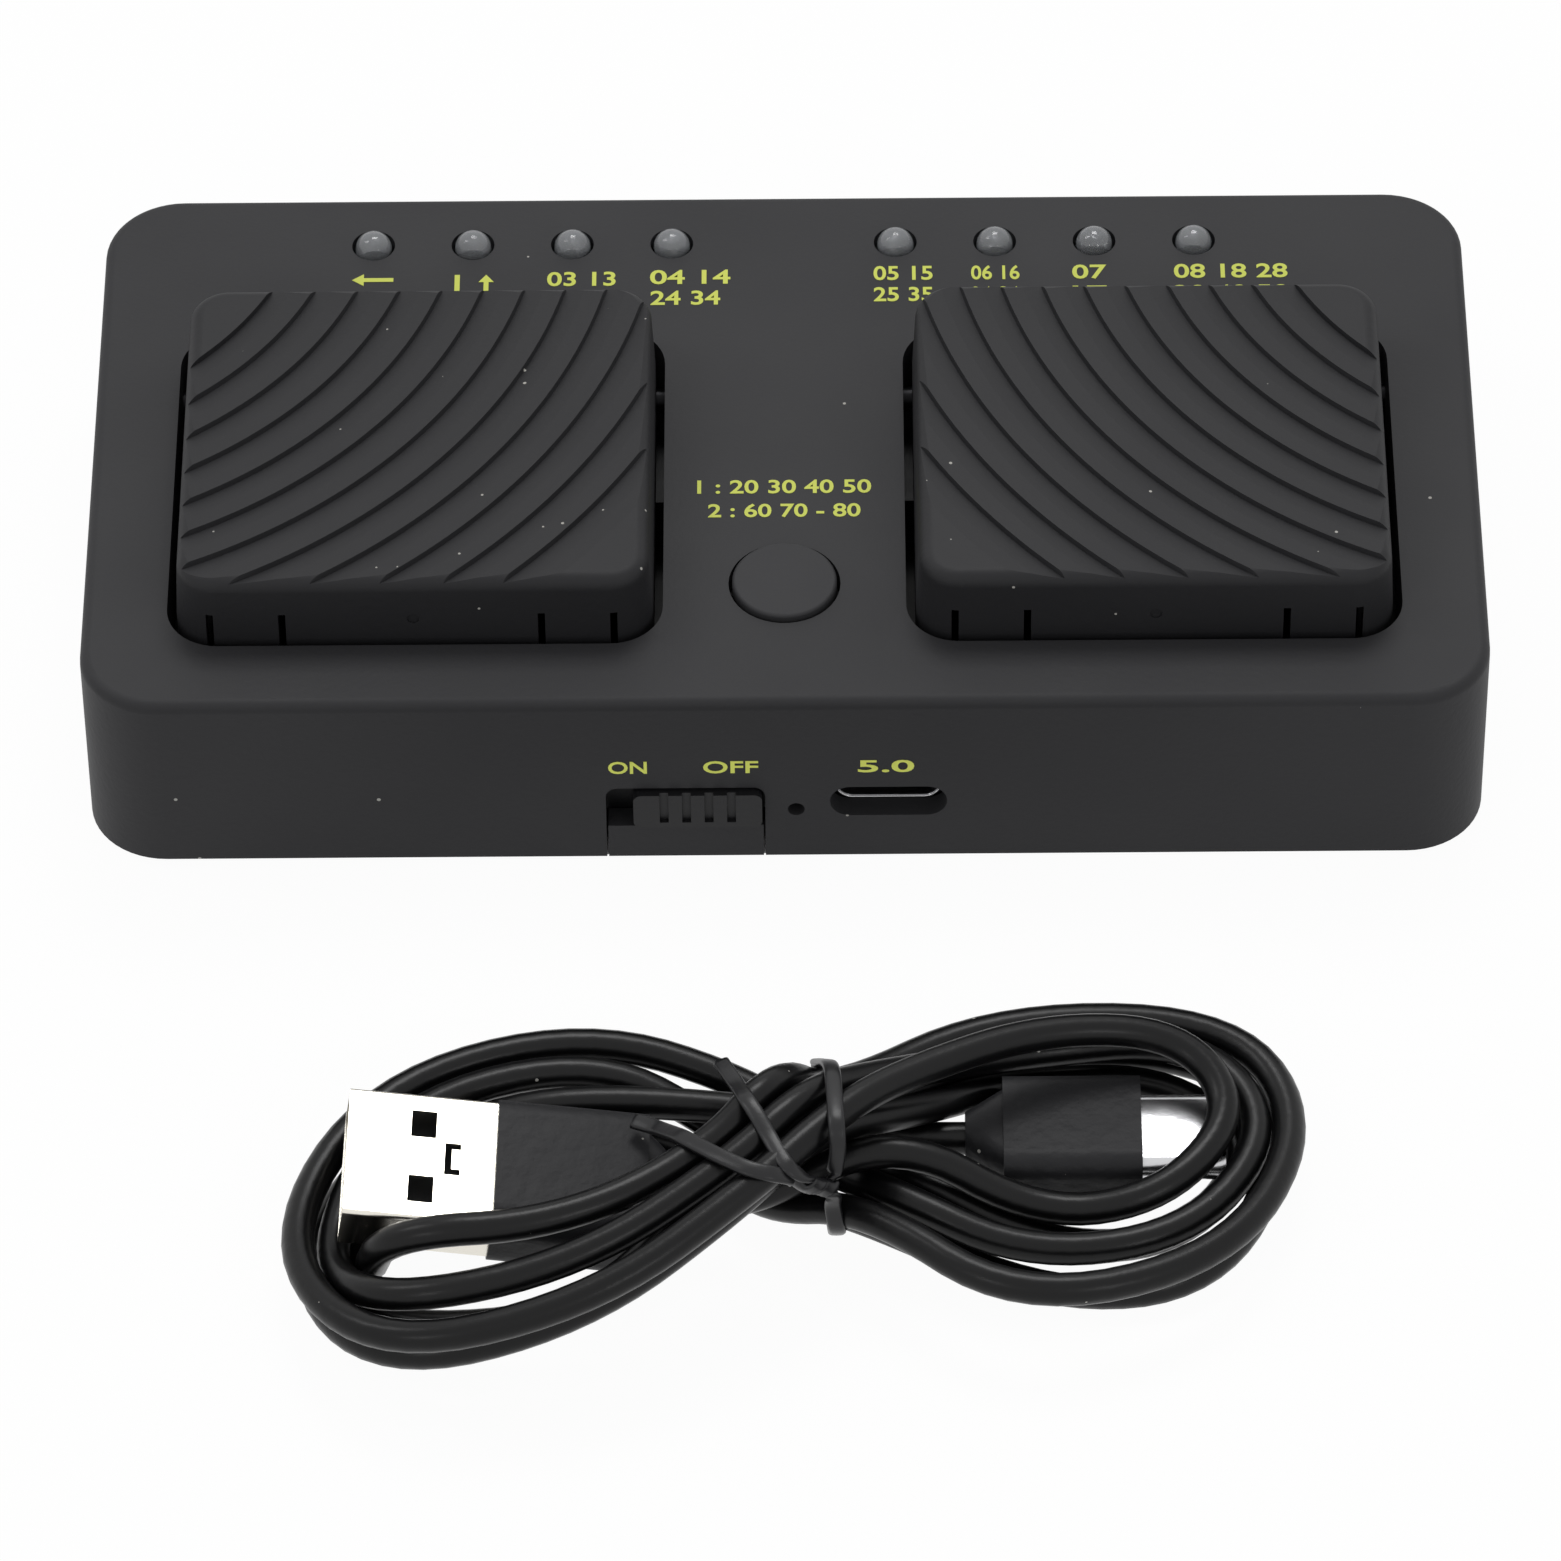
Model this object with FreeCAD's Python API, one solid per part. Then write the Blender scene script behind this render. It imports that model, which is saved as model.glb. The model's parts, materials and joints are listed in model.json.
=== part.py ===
import FreeCAD
import Part
import math
import os

# Page turner pedal: a low case with two hinged pedals, a mode button, eight indicator lamps,
# a power slider and a charging socket, and its charging cable tied up in a hank in front of it.
# Millimetres. X runs along the case, -Y is the front, and Z = 0 is the floor under the rubber feet.

# Case
case_width = 115.0
case_depth = 60.6
case_height = 17.9
case_corner = 6.5
case_edge = 0.9
wall = 2.0
roof = 2.0
plate_thickness = 2.0
plate_gap = 0.15
foot_height = 0.8
foot_radius = 4.5
foot_recess = 0.4
foot_inset = 11.5
post_radius = 2.4
back_post_inset = 4.2
screw_radius = 1.0
screw_length = 9.0
screw_head_radius = 1.9
screw_head_height = 1.0

# Pedals and their wells
pedal_side_gap = 3.35
pedal_front_gap = 3.3
pedal_middle_gap = 21.5
pedal_depth = 35.6
pedal_rise = 6.2
pedal_corner = 3.5
pedal_edge = 1.2
pedal_roof = 2.0
pedal_skirt = 1.8
well_gap = 0.8
collar_wall = 1.6
collar_drop = 6.7
skirt_drop = 5.2
pedal_draft = 0.3
ridge_count = 12
ridge_pitch = 3.335
ridge_first = 29.35
ridge_step = 0.45
ridge_fall = 0.14
ridge_sag = 0.16
ridge_crest = 0.02
ridge_center_out = 39.27
ridge_center_back = 29.58
dimple_radius = 0.5
dimple_depth = 0.15
dimple_rise = 2.1

# Hinge and return of a pedal
pin_radius = 1.0
pin_play = 0.03
pin_inset = 3.0
pin_drop = 4.7
pin_seat = 1.5
ear_wall = 1.2
ear_length = 3.0
pedal_angle = 3.5
tongue_width = 5.3
tongue_outer_inset = 8.5
tongue_inner_inset = 8.75
tongue_slit = 0.6
slit_rise = 2.6
hook_reach = 1.4
hook_height = 1.0
seat_gap = 0.3
spring_radius = 3.6
spring_wire = 0.8
spring_turns = 5
spring_arm = 26.0

# Circuit board and what stands on it
board_side_gap = 9.0
board_thickness = 1.6
board_lift = 1.1
board_front_gap = 1.5
board_back_gap = 1.4
board_post_radius = 2.6
board_screw_side = 4.5
board_screw_back = 4.9
board_screw_front = 7.8
switch_size = 12.0
switch_height = 3.5
switch_arm = 15.0
plunger_radius = 3.4
plunger_gap = 0.3
plunger_rise = 3.8
plunger_sink = 1.5
press_gap = 0.1
press_round = 1.7

# Mode button
button_hole = 9.2
button_cap = 8.6
button_rise = 0.5
button_edge = 0.3
button_setback = 13.7
button_travel = 0.3
button_flange = 10.4
flange_thickness = 1.0
button_guide = 11.2
guide_wall = 1.2
guide_drop = 3.4
small_switch_size = 6.0
small_plunger_radius = 1.7
small_plunger_rise = 3.5

# Indicator lamps
lamp_count = 4
lamp_first = 9.48
lamp_last_inset = 20.721
lamp_inset = 6.04
lamp_radius = 1.55
lamp_hole = 3.65
lamp_rise = 1.2
lamp_length = 5.4
lamp_flange_radius = 1.9
lamp_flange_height = 1.0
lead_size = 0.5
lead_pitch = 2.54
spacer_wall = 0.6

# Power slider in the front wall
notch_left = 14.75
notch_right = 1.7
notch_top = 8.0
notch_corner = 1.0
tab_height = 3.6
knob_width = 10.55
knob_height = 3.75
knob_corner = 0.7
knob_proud = 0.5
knob_gap = 0.25
knob_groove = 0.73
knob_groove_pitch = 1.84
knob_groove_depth = 0.35
knob_foot = 0.6
slider_travel = 2.0
slider_plate = 0.9
slider_play = 0.25
slider_cover = 0.5
lever_size = 1.4
power_switch_width = 8.5
power_switch_depth = 3.5
power_switch_height = 3.2

# Charging socket and charge lamp
socket_x = 8.4
socket_width = 8.94
socket_height = 3.26
socket_depth = 7.35
socket_wall = 0.3
socket_margin = 0.33
tongue_plate_width = 6.7
tongue_plate_height = 0.7
charge_hole_x = 0.84
charge_hole_z = 5.42
charge_hole_radius = 0.7

# Battery and modules
battery_length = 30.0
battery_height = 5.0
battery_gap = 2.7
battery_lamp_gap = 0.9
battery_edge = 1.2
tape_thickness = 0.3
tape_inset = 2.5
module_width = 12.0
module_depth = 10.5
module_gap = 1.4
module_board = 0.8
can_height = 1.9
can_inset = 0.8
can_wall = 0.3
chip_size = 4.4
chip_height = 1.2
plug_width = 5.0
plug_depth = 6.0
plug_height = 4.0
lead_wire = 1.1
lead_wire_pitch = 1.5
lead_wire_bend = 2.2

# Charging cable: plug shells and housings
cord = 2.65
shell_a_width = 12.0
shell_a_height = 4.5
shell_a_length = 11.8
shell_a_wall = 0.35
window_spread = 6.2
window_back = 5.0
window_length = 2.0
window_width = 2.5
latch_back = 8.4
latch_length = 1.25
latch_width = 3.0
latch_tongue_length = 0.7
latch_tongue_width = 1.9
insert_a_height = 1.9
insert_a_back = 1.0
housing_a_width = 13.0
housing_a_height = 6.4
housing_a_length = 12.0
neck_a_length = 3.2
shell_c_width = 8.25
shell_c_height = 2.4
shell_c_length = 6.65
shell_c_wall = 0.3
housing_c_width = 10.5
housing_c_height = 5.2
housing_c_length = 11.0
neck_c_length = 3.0
neck_radius = 2.1

# Charging cable: where the plugs end and where the cord passes the waist
plug_a_end = (-5.6, -71.39, 4.6)
plug_a_yaw = -0.82
plug_a_pitch = 8.0
plug_a_roll = 6.9
plug_c_end = (11.54, -64.21, 3.83)
waist_a = (0.59, -71.24, 6.25)
waist_a_slope = 0.348
waist_c = (4.79, -66.89, 5.98)
waist_c_slope = 0.22

# Charging cable: the hank's figure of eight
hank_turns = 5
waist_x = 0.56
waist_y = -68.29
right_reach = 37.98
left_reach = 38.64
right_swell = 12.27
left_swell = 13.26
right_drop = 5.38
left_drop = -7.59
hank_belly = -0.618
hank_shoulder = -0.107
middle_turn = 2.714
turn_steps = (3.21, 2.42, 1.56, 1.78, 1.81, 1.81, 1.55, 2.35)

# Charging cable: how its turns lie on one another
layer = cord + 0.45
tie_lift = 0.95
lower_stack = 0.0
upper_stack = 3.43
upper_crossing = 9.77
first_top = 12.14
first_end = 8.22
left_rise_even = 4.03
left_rise_odd = 3.73

# The twist tie round the waist, and its two tails
tie_x = 2.7
tie_front = -78.2
tie_back = -57.7
tie_low = 0.1
tie_top = 14.7
tie_width = 1.6
tie_thickness = 0.7
tie_corner = 3.0
tie_knot = 1.5
tie_tail_back = ((2.2, -77.8, 15.0), (-0.4, -77.4, 15.5), (-2.6, -72.4, 15.5), (-5.1, -66.6, 15.3))
tie_tail_left = ((2.2, -77.9, 14.8), (-2.7, -78.1, 15.3), (-6.6, -75.3, 15.0), (-10.0, -73.0, 14.4),
                 (-12.6, -71.8, 13.8))

# Places that follow from the sizes above
case_y = knob_proud / 2
base = foot_height
top = base + case_height
front = case_y - case_depth / 2
back = case_y + case_depth / 2
roof_z = top - roof
plate_z = base + plate_thickness
inner_x = case_width / 2 - wall
inner_front = front + wall
inner_back = back - wall
pedal_outer = inner_x - pedal_side_gap - collar_wall - well_gap
pedal_width = pedal_outer - pedal_middle_gap / 2
pedal_x = pedal_outer - pedal_width / 2
pedal_front = inner_front + pedal_front_gap + collar_wall + well_gap
pedal_back = pedal_front + pedal_depth
pedal_y = pedal_front + pedal_depth / 2
pedal_top = top + pedal_rise
pedal_under = pedal_top - pedal_roof
skirt_z = top - skirt_drop
collar_z = top - collar_drop
pin_y = pedal_back - pin_inset
pin_z = top - pin_drop
board_z = plate_z + board_lift
board_top = board_z + board_thickness
board_front = inner_front + board_front_gap
board_back = inner_back - board_back_gap
switch_y = pin_y - switch_arm
spring_y = pin_y - spring_arm
plunger_top = board_top + switch_height + plunger_rise
board_half = inner_x - board_side_gap
button_y = front + button_setback
lamp_y = back - lamp_inset
lamp_pitch = (inner_x - lamp_last_inset - lamp_first) / (lamp_count - 1)
spacer_radius = lead_pitch / 2 + lead_size + spacer_wall
module_y = button_y + small_switch_size / 2 + module_gap
battery_front = module_y + module_depth + battery_gap
battery_back = lamp_y - spacer_radius - battery_lamp_gap


def rounded_box(x0, x1, y0, y1, z0, z1, corner):
    """A box whose four upright edges have the radius corner."""
    r = min(corner, (x1 - x0) / 2 - 0.01, (y1 - y0) / 2 - 0.01)
    box = Part.makeBox(x1 - x0, y1 - y0, z1 - z0, FreeCAD.Vector(x0, y0, z0))
    if r <= 0:
        return box
    upright = [e for e in box.Edges if abs(e.BoundBox.ZLength - (z1 - z0)) < 1e-6]
    return box.makeFillet(r, upright)


def block(x0, x1, y0, y1, z0, z1):
    return Part.makeBox(x1 - x0, y1 - y0, z1 - z0, FreeCAD.Vector(x0, y0, z0))


def rod(radius, x, y, z0, z1):
    return Part.makeCylinder(radius, z1 - z0, FreeCAD.Vector(x, y, z0))


def rod_along_x(radius, x0, x1, y, z):
    return Part.makeCylinder(radius, x1 - x0, FreeCAD.Vector(x0, y, z), FreeCAD.Vector(1, 0, 0))


def rod_along_y(radius, x, y0, y1, z):
    return Part.makeCylinder(radius, y1 - y0, FreeCAD.Vector(x, y0, z), FreeCAD.Vector(0, 1, 0))


def level_edges(shape, z):
    """The edges of a shape that lie wholly at one height."""
    found = []
    for edge in shape.Edges:
        box = edge.BoundBox
        if abs(box.ZMin - z) < 1e-4 and abs(box.ZMax - z) < 1e-4:
            found.append(edge)
    return found


def prism_along_x(points, x0, x1):
    """A profile given as (y, z) corners, drawn out from x0 to x1."""
    corners = [FreeCAD.Vector(x0, y, z) for y, z in points]
    face = Part.Face(Part.makePolygon(corners + corners[:1]))
    return face.extrude(FreeCAD.Vector(x1 - x0, 0, 0))


def turned(points, x, y):
    """A profile given as (radius, z) corners, turned about an upright axis at x, y."""
    corners = [FreeCAD.Vector(x + r, y, z) for r, z in points]
    face = Part.Face(Part.makePolygon(corners + corners[:1]))
    return face.revolve(FreeCAD.Vector(x, y, 0), FreeCAD.Vector(0, 0, 1), 360)


def stadium_along_y(width, height, x, z, y0, y1):
    """A bar with half-round sides, as a charging socket is, running along Y."""
    half = width / 2 - height / 2
    left = FreeCAD.Vector(x - half, y0, z)
    right = FreeCAD.Vector(x + half, y0, z)
    up = FreeCAD.Vector(0, 0, height / 2)
    out = FreeCAD.Vector(height / 2, 0, 0)
    edges = [
        Part.LineSegment(left + up, right + up).toShape(),
        Part.Arc(right + up, right + out, right - up).toShape(),
        Part.LineSegment(right - up, left - up).toShape(),
        Part.Arc(left - up, left - out, left + up).toShape(),
    ]
    return Part.Face(Part.Wire(edges)).extrude(FreeCAD.Vector(0, y1 - y0, 0))


def post_places():
    """The four corners where a screw holds the bottom plate."""
    well_side = pedal_x + pedal_width / 2 + well_gap + collar_wall
    well_front = pedal_front - well_gap - collar_wall
    corner_x = (well_side + inner_x) / 2 - collar_wall
    corner_y = (well_front + inner_front) / 2 + collar_wall
    places = []
    for side in (-1, 1):
        places.append((side * corner_x, corner_y))
        places.append((side * (inner_x - back_post_inset), inner_back - back_post_inset))
    return places


def board_screw_places():
    places = []
    for side in (-1, 1):
        x = side * (board_half - board_screw_side)
        places.append((x, board_back - board_screw_back))
        places.append((x, board_front + board_screw_front))
    return places


def lamp_places():
    places = []
    for side in (-1, 1):
        for i in range(lamp_count):
            places.append(side * (lamp_first + i * lamp_pitch))
    return sorted(places)


def well(side, grow, z0, z1):
    """The opening that a pedal moves in, or the collar round it with grow as its wall."""
    x = side * pedal_x
    out = well_gap + grow
    return rounded_box(x - pedal_width / 2 - out, x + pedal_width / 2 + out,
                       pedal_front - out, pedal_back + out, z0, z1, pedal_corner + out)


def notch(gap, z0, z1, y0, y1):
    """The opening in the front wall for the power slider, less a gap on each side."""
    left = -notch_left + gap
    right = -notch_right - gap
    shape = block(left, right, y0, y1, z0, z1)
    edges = [e for e in level_edges(shape, z1) if e.BoundBox.YLength > e.BoundBox.XLength]
    return shape.makeFillet(notch_corner, edges)


def upper_case():
    shape = rounded_box(-case_width / 2, case_width / 2, front, back, base, top, case_corner)
    shape = shape.makeFillet(case_edge, level_edges(shape, top))
    room = rounded_box(-inner_x, inner_x, inner_front, inner_back, base, roof_z, case_corner - wall)
    shape = shape.cut(room)
    for side in (-1, 1):
        shape = shape.fuse(well(side, collar_wall, collar_z, roof_z + roof / 2).common(
            rounded_box(-inner_x, inner_x, inner_front, inner_back, base, top, case_corner - wall)))
    guide = rod(button_guide / 2 + guide_wall, 0, button_y, roof_z - guide_drop, roof_z + roof / 2)
    shape = shape.fuse(guide)
    for x, y in post_places():
        post = rod(post_radius, x, y, plate_z, roof_z + roof / 2)
        shape = shape.fuse(post.cut(rod(screw_radius, x, y, plate_z, plate_z + screw_length)))
    for side in (-1, 1):
        shape = shape.cut(well(side, 0, base, top + 1))
        x = side * pedal_x
        half = pedal_width / 2 + well_gap + pin_seat
        shape = shape.cut(rod_along_x(pin_radius, x - half, x + half, pin_y, pin_z))
    shape = shape.cut(rod(button_hole / 2, 0, button_y, base, top + 1))
    shape = shape.cut(rod(button_guide / 2, 0, button_y, base, roof_z))
    for x in lamp_places():
        shape = shape.cut(rod(lamp_hole / 2, x, lamp_y, roof_z - 1, top + 1))
    shape = shape.cut(notch(0, base - 1, base + notch_top, front - 1, inner_front + 1))
    slot = stadium_along_y(socket_width + 2 * socket_margin, socket_height + 0.2 * socket_margin,
                           socket_x, board_top + socket_height / 2, front - 1, inner_front + 0.5)
    shape = shape.cut(slot)
    shape = shape.cut(rod_along_y(charge_hole_radius, charge_hole_x, front - 1, inner_front + 0.5,
                                  base + charge_hole_z))
    return shape.removeSplitter()


def lower_case():
    shape = rounded_box(-inner_x + plate_gap, inner_x - plate_gap, inner_front + plate_gap,
                        inner_back - plate_gap, base, plate_z, case_corner - wall - plate_gap)
    left, right = -notch_left + plate_gap, -notch_right - plate_gap
    tab = block(left, right, front, inner_front, base, base + tab_height)
    neck = block(left, right, front, inner_front + plate_gap + wall, base, plate_z)
    shape = shape.fuse([tab, neck])
    for x, y in board_screw_places():
        shape = shape.fuse(rod(board_post_radius, x, y, plate_z - plate_thickness / 2, board_z))
        shape = shape.cut(rod(screw_radius, x, y, plate_z - plate_thickness / 2, board_z))
    for side in (-1, 1):
        guide = spring_radius - spring_wire / 2 - seat_gap
        post = rod(guide, side * pedal_x, spring_y, plate_z - plate_thickness / 2, board_top + 3)
        shape = shape.fuse(post.makeFillet(guide / 3, level_edges(post, board_top + 3)))
    for x, y in post_places():
        shape = shape.cut(rod(screw_radius, x, y, base, plate_z))
        shape = shape.cut(rod(screw_head_radius, x, y, base, base + screw_head_height))
    for x, y in foot_places():
        shape = shape.cut(rod(foot_radius, x, y, base, base + foot_recess))
    return shape.removeSplitter()


def foot_places():
    places = []
    for x in (-1, 1):
        for y in (-1, 1):
            places.append((x * (case_width / 2 - foot_inset), case_y + y * (case_depth / 2 - foot_inset)))
    return places


def rubber_feet():
    feet = []
    for x, y in foot_places():
        foot = rod(foot_radius, x, y, 0, base + foot_recess)
        feet.append(foot.makeFillet(foot_height / 2, level_edges(foot, 0)))
    return Part.makeCompound(feet)


def rectangle(x0, x1, y0, y1, z, corner):
    """A level outline whose four corners have the radius corner."""
    box = rounded_box(x0, x1, y0, y1, z, z + 1, corner)
    return Part.Wire(Part.__sortEdges__(level_edges(box, z)))


def pedal_form(x, low):
    """The outside of a pedal from the height low up, narrower towards its top, with rounded top edges."""
    half = pedal_width / 2
    lower = rounded_box(x - half, x + half, pedal_front, pedal_back, low, top, pedal_corner)
    foot = rectangle(x - half, x + half, pedal_front, pedal_back, top, pedal_corner)
    head = rectangle(x - half + pedal_draft, x + half - pedal_draft, pedal_front + pedal_draft,
                     pedal_back - pedal_draft, pedal_top, pedal_corner - pedal_draft)
    upper = Part.makeLoft([foot, head], True, True)
    upper = upper.makeFillet(pedal_edge, level_edges(upper, pedal_top))
    return lower.fuse(upper)


def ridge_cutter(x, y):
    """What is above a pedal's ridges: each rises away from the axis and ends in a step down."""
    over = pedal_top + ridge_step
    points = [(ridge_first, over)]
    for i in range(ridge_count):
        r = ridge_first + i * ridge_pitch
        points.append((r + ridge_fall, pedal_top - ridge_step))
        points.append((r + (ridge_fall + ridge_pitch) / 2, pedal_top - ridge_sag))
        if i < ridge_count - 1:
            points.append((r + ridge_pitch, pedal_top - ridge_crest))
    points.append((ridge_first + ridge_count * ridge_pitch, pedal_top + ridge_crest))
    points.append((ridge_first + ridge_count * ridge_pitch, over))
    return turned(points, x, y)


def pedal(side):
    x = side * pedal_x
    half = pedal_width / 2
    shape = pedal_form(x, skirt_z)
    inside = half - pedal_skirt
    shape = shape.cut(rounded_box(x - inside, x + inside, pedal_front + pedal_skirt, pedal_back - pedal_skirt,
                                  skirt_z, pedal_under, pedal_corner - pedal_skirt))
    outline = pedal_form(x, collar_z)
    shape = shape.cut(ridge_cutter(x + side * ridge_center_out, pedal_y + ridge_center_back))
    shape = shape.cut(rod_along_y(dimple_radius, x, pedal_front - 1,
                                  pedal_front + pedal_draft * dimple_rise / pedal_rise + dimple_depth, top + dimple_rise))
    for end in (-1, 1):
        outer = x + end * half
        inner = outer - end * (pedal_skirt + ear_length)
        low, high = min(outer, inner), max(outer, inner)
        ear = rod_along_x(pin_radius + ear_wall, low, high, pin_y, pin_z).common(outline)
        rib = block(low, high, pin_y - ear_wall / 2, pin_y + ear_wall / 2, pin_z, pedal_under + pedal_roof / 2)
        shape = shape.fuse([ear, rib.common(outline)])
    shape = shape.cut(rod_along_x(pin_radius + pin_play, x - half - 1, x + half + 1, pin_y, pin_z))
    press = rod(plunger_radius - 0.9, x, switch_y, plunger_top + press_gap, pedal_under + pedal_roof / 2)
    press = press.makeFillet(press_round, level_edges(press, plunger_top + press_gap))
    fins = [block(x - inside, x + inside, switch_y - ear_wall / 2, switch_y + ear_wall / 2,
                  pedal_under - 3, pedal_under + pedal_roof / 2),
            block(x - ear_wall / 2, x + ear_wall / 2, spring_y + spring_radius + spring_wire, pin_y - pin_radius - ear_wall,
                  pedal_under - 3, pedal_under + pedal_roof / 2)]
    guide = spring_radius - spring_wire / 2 - seat_gap
    stub = rod(guide, x, spring_y, pedal_under - 2.5, pedal_under + pedal_roof / 2)
    shape = shape.fuse([press, stub] + fins)
    for toward, inset in ((side, tongue_outer_inset), (-side, tongue_inner_inset)):
        near = x + toward * (half - inset)
        far = near + toward * tongue_width
        left, right = min(near, far), max(near, far)
        hook_top = collar_z - seat_gap
        profile = [(pedal_front, skirt_z + 0.5), (pedal_front, hook_top),
                   (pedal_front - hook_reach, hook_top), (pedal_front - hook_reach, hook_top - hook_height / 2),
                   (pedal_front, hook_top - 1.5 * hook_height), (pedal_front + pedal_skirt, hook_top - 1.5 * hook_height),
                   (pedal_front + pedal_skirt, skirt_z + 0.5)]
        shape = shape.fuse(prism_along_x(profile, left, right))
        for edge, sign in ((left, -1), (right, 1)):
            cut = block(min(edge, edge + sign * tongue_slit), max(edge, edge + sign * tongue_slit),
                        pedal_front - 1, pedal_front + pedal_skirt + 0.1, skirt_z - 1, top + slit_rise)
            shape = shape.cut(cut)
    return shape.removeSplitter()


def pivot_pin(side):
    x = side * pedal_x
    half = pedal_width / 2 + well_gap + pin_seat
    pin = rod_along_x(pin_radius, x - half, x + half, pin_y, pin_z)
    return pin.makeChamfer(pin_radius / 5, [pin.Edges[0], pin.Edges[2]])


def bend(start, along, end):
    """An arc that leaves start in the direction along and ends at end, or a line where that is straight."""
    across = end - start
    side = across - along * (across * along)
    if side.Length < 1e-6:
        return Part.LineSegment(start, end).toShape(), None
    side.normalize()
    radius = across.Length ** 2 / (2 * (across * side))
    centre = start + side * radius
    half = math.atan2(across * side, across * along)
    middle = centre - side * (radius * math.cos(half)) + along * (radius * math.sin(half))
    return Part.Arc(start, middle, end).toShape(), radius


def biarcs(places, ways):
    """Pairs of arcs that join each place to the next and leave it along its way."""
    edges = []
    radii = []
    for p0, p1, t0, t1 in zip(places, places[1:], ways, ways[1:]):
        v = p1 - p0
        spread = 2 * (1 - t0 * t1)
        along = v * (t0 + t1)
        if spread < 1e-9:
            d = (v * v) / (4 * (v * t1))
        else:
            d = (-along + math.sqrt(along * along + spread * (v * v))) / spread
        q0 = p0 + t0 * d
        q1 = p1 - t1 * d
        middle = (q0 + q1) * 0.5
        for edge, radius in (bend(p0, t0, middle), bend(middle, (q1 - q0).normalize(), p1)):
            edges.append(edge)
            if radius:
                radii.append(radius)
    return edges, radii


def tube(edges, radius):
    """A round section drawn along a chain of tangent lines and arcs."""
    first = edges[0]
    start = first.valueAt(first.FirstParameter)
    way = first.tangentAt(first.FirstParameter)
    ring = Part.Wire([Part.makeCircle(radius, start, way)])
    return Part.Wire(edges).makePipeShell([ring], True, False)


def return_spring(side):
    """A round-wire compression spring between the bottom plate and the underside of a pedal."""
    x = side * pedal_x
    low = plate_z + spring_wire / 2
    high = pedal_under - spring_wire / 2 - press_gap / 2
    places = []
    ways = []
    steps = spring_turns * 2
    rise = (high - low) / steps
    slope = math.atan2(rise, math.pi * spring_radius)
    for i in range(steps + 1):
        turn = i * math.pi
        places.append(FreeCAD.Vector(x + spring_radius * math.cos(turn), spring_y + spring_radius * math.sin(turn),
                                     low + i * rise))
        ways.append(FreeCAD.Vector(-math.sin(turn) * math.cos(slope), math.cos(turn) * math.cos(slope),
                                   math.sin(slope)))
    edges, radii = biarcs(places, ways)
    return tube(edges, spring_wire / 2)


def switch_body(x, y, size, bore, sink):
    """A push switch: a moulded square body with a metal cover and a round well for its plunger."""
    half = size / 2
    shape = rounded_box(x - half, x + half, y - half, y + half, board_top, board_top + switch_height, size / 12)
    shape = shape.makeChamfer(size / 30, level_edges(shape, board_top + switch_height))
    shape = shape.cut(rod(bore, x, y, board_top + switch_height - sink, board_top + switch_height + 1))
    pins = []
    for side in (-1, 1):
        for end in (-1, 1):
            px = x + side * half * 0.9
            py = y + end * half * 0.42
            pins.append(block(px - 0.35, px + 0.35, py - 0.35, py + 0.35, board_z - 0.6, board_top + 0.3))
    return shape.fuse(pins)


def switch_plunger(x, y, radius, sink, rise):
    seat = board_top + switch_height - sink
    shape = rod(radius, x, y, seat, board_top + switch_height + rise)
    return shape.makeFillet(radius / 6, level_edges(shape, board_top + switch_height + rise))


def pedal_travel():
    """How far the plunger goes down at the pedal's full angle."""
    return switch_arm * math.radians(pedal_angle)


def pedal_switch_body(side):
    sink = plunger_sink + pedal_travel() + plunger_gap
    return switch_body(side * pedal_x, switch_y, switch_size, plunger_radius + plunger_gap, sink)


def pedal_switch_plunger(side):
    return switch_plunger(side * pedal_x, switch_y, plunger_radius, plunger_sink, plunger_rise)


def mode_switch_body():
    sink = plunger_sink + button_travel + plunger_gap
    return switch_body(0, button_y, small_switch_size, small_plunger_radius + plunger_gap, sink)


def mode_switch_plunger():
    return switch_plunger(0, button_y, small_plunger_radius, plunger_sink, small_plunger_rise)


def mode_button():
    cap = button_cap / 2
    low = roof_z - seat_gap
    shape = rod(cap, 0, button_y, low - flange_thickness, top + button_rise)
    shape = shape.makeFillet(button_edge, level_edges(shape, top + button_rise))
    flange = rod(button_flange / 2, 0, button_y, low - flange_thickness, low)
    stem_z = board_top + switch_height + small_plunger_rise
    stem = rod(small_plunger_radius, 0, button_y, stem_z, low)
    return shape.fuse([flange, stem]).removeSplitter()


def slider_knob_x():
    """The left and right edges of the knob at rest, with the switch off."""
    right = -notch_right - knob_gap
    return right - knob_width, right


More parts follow.
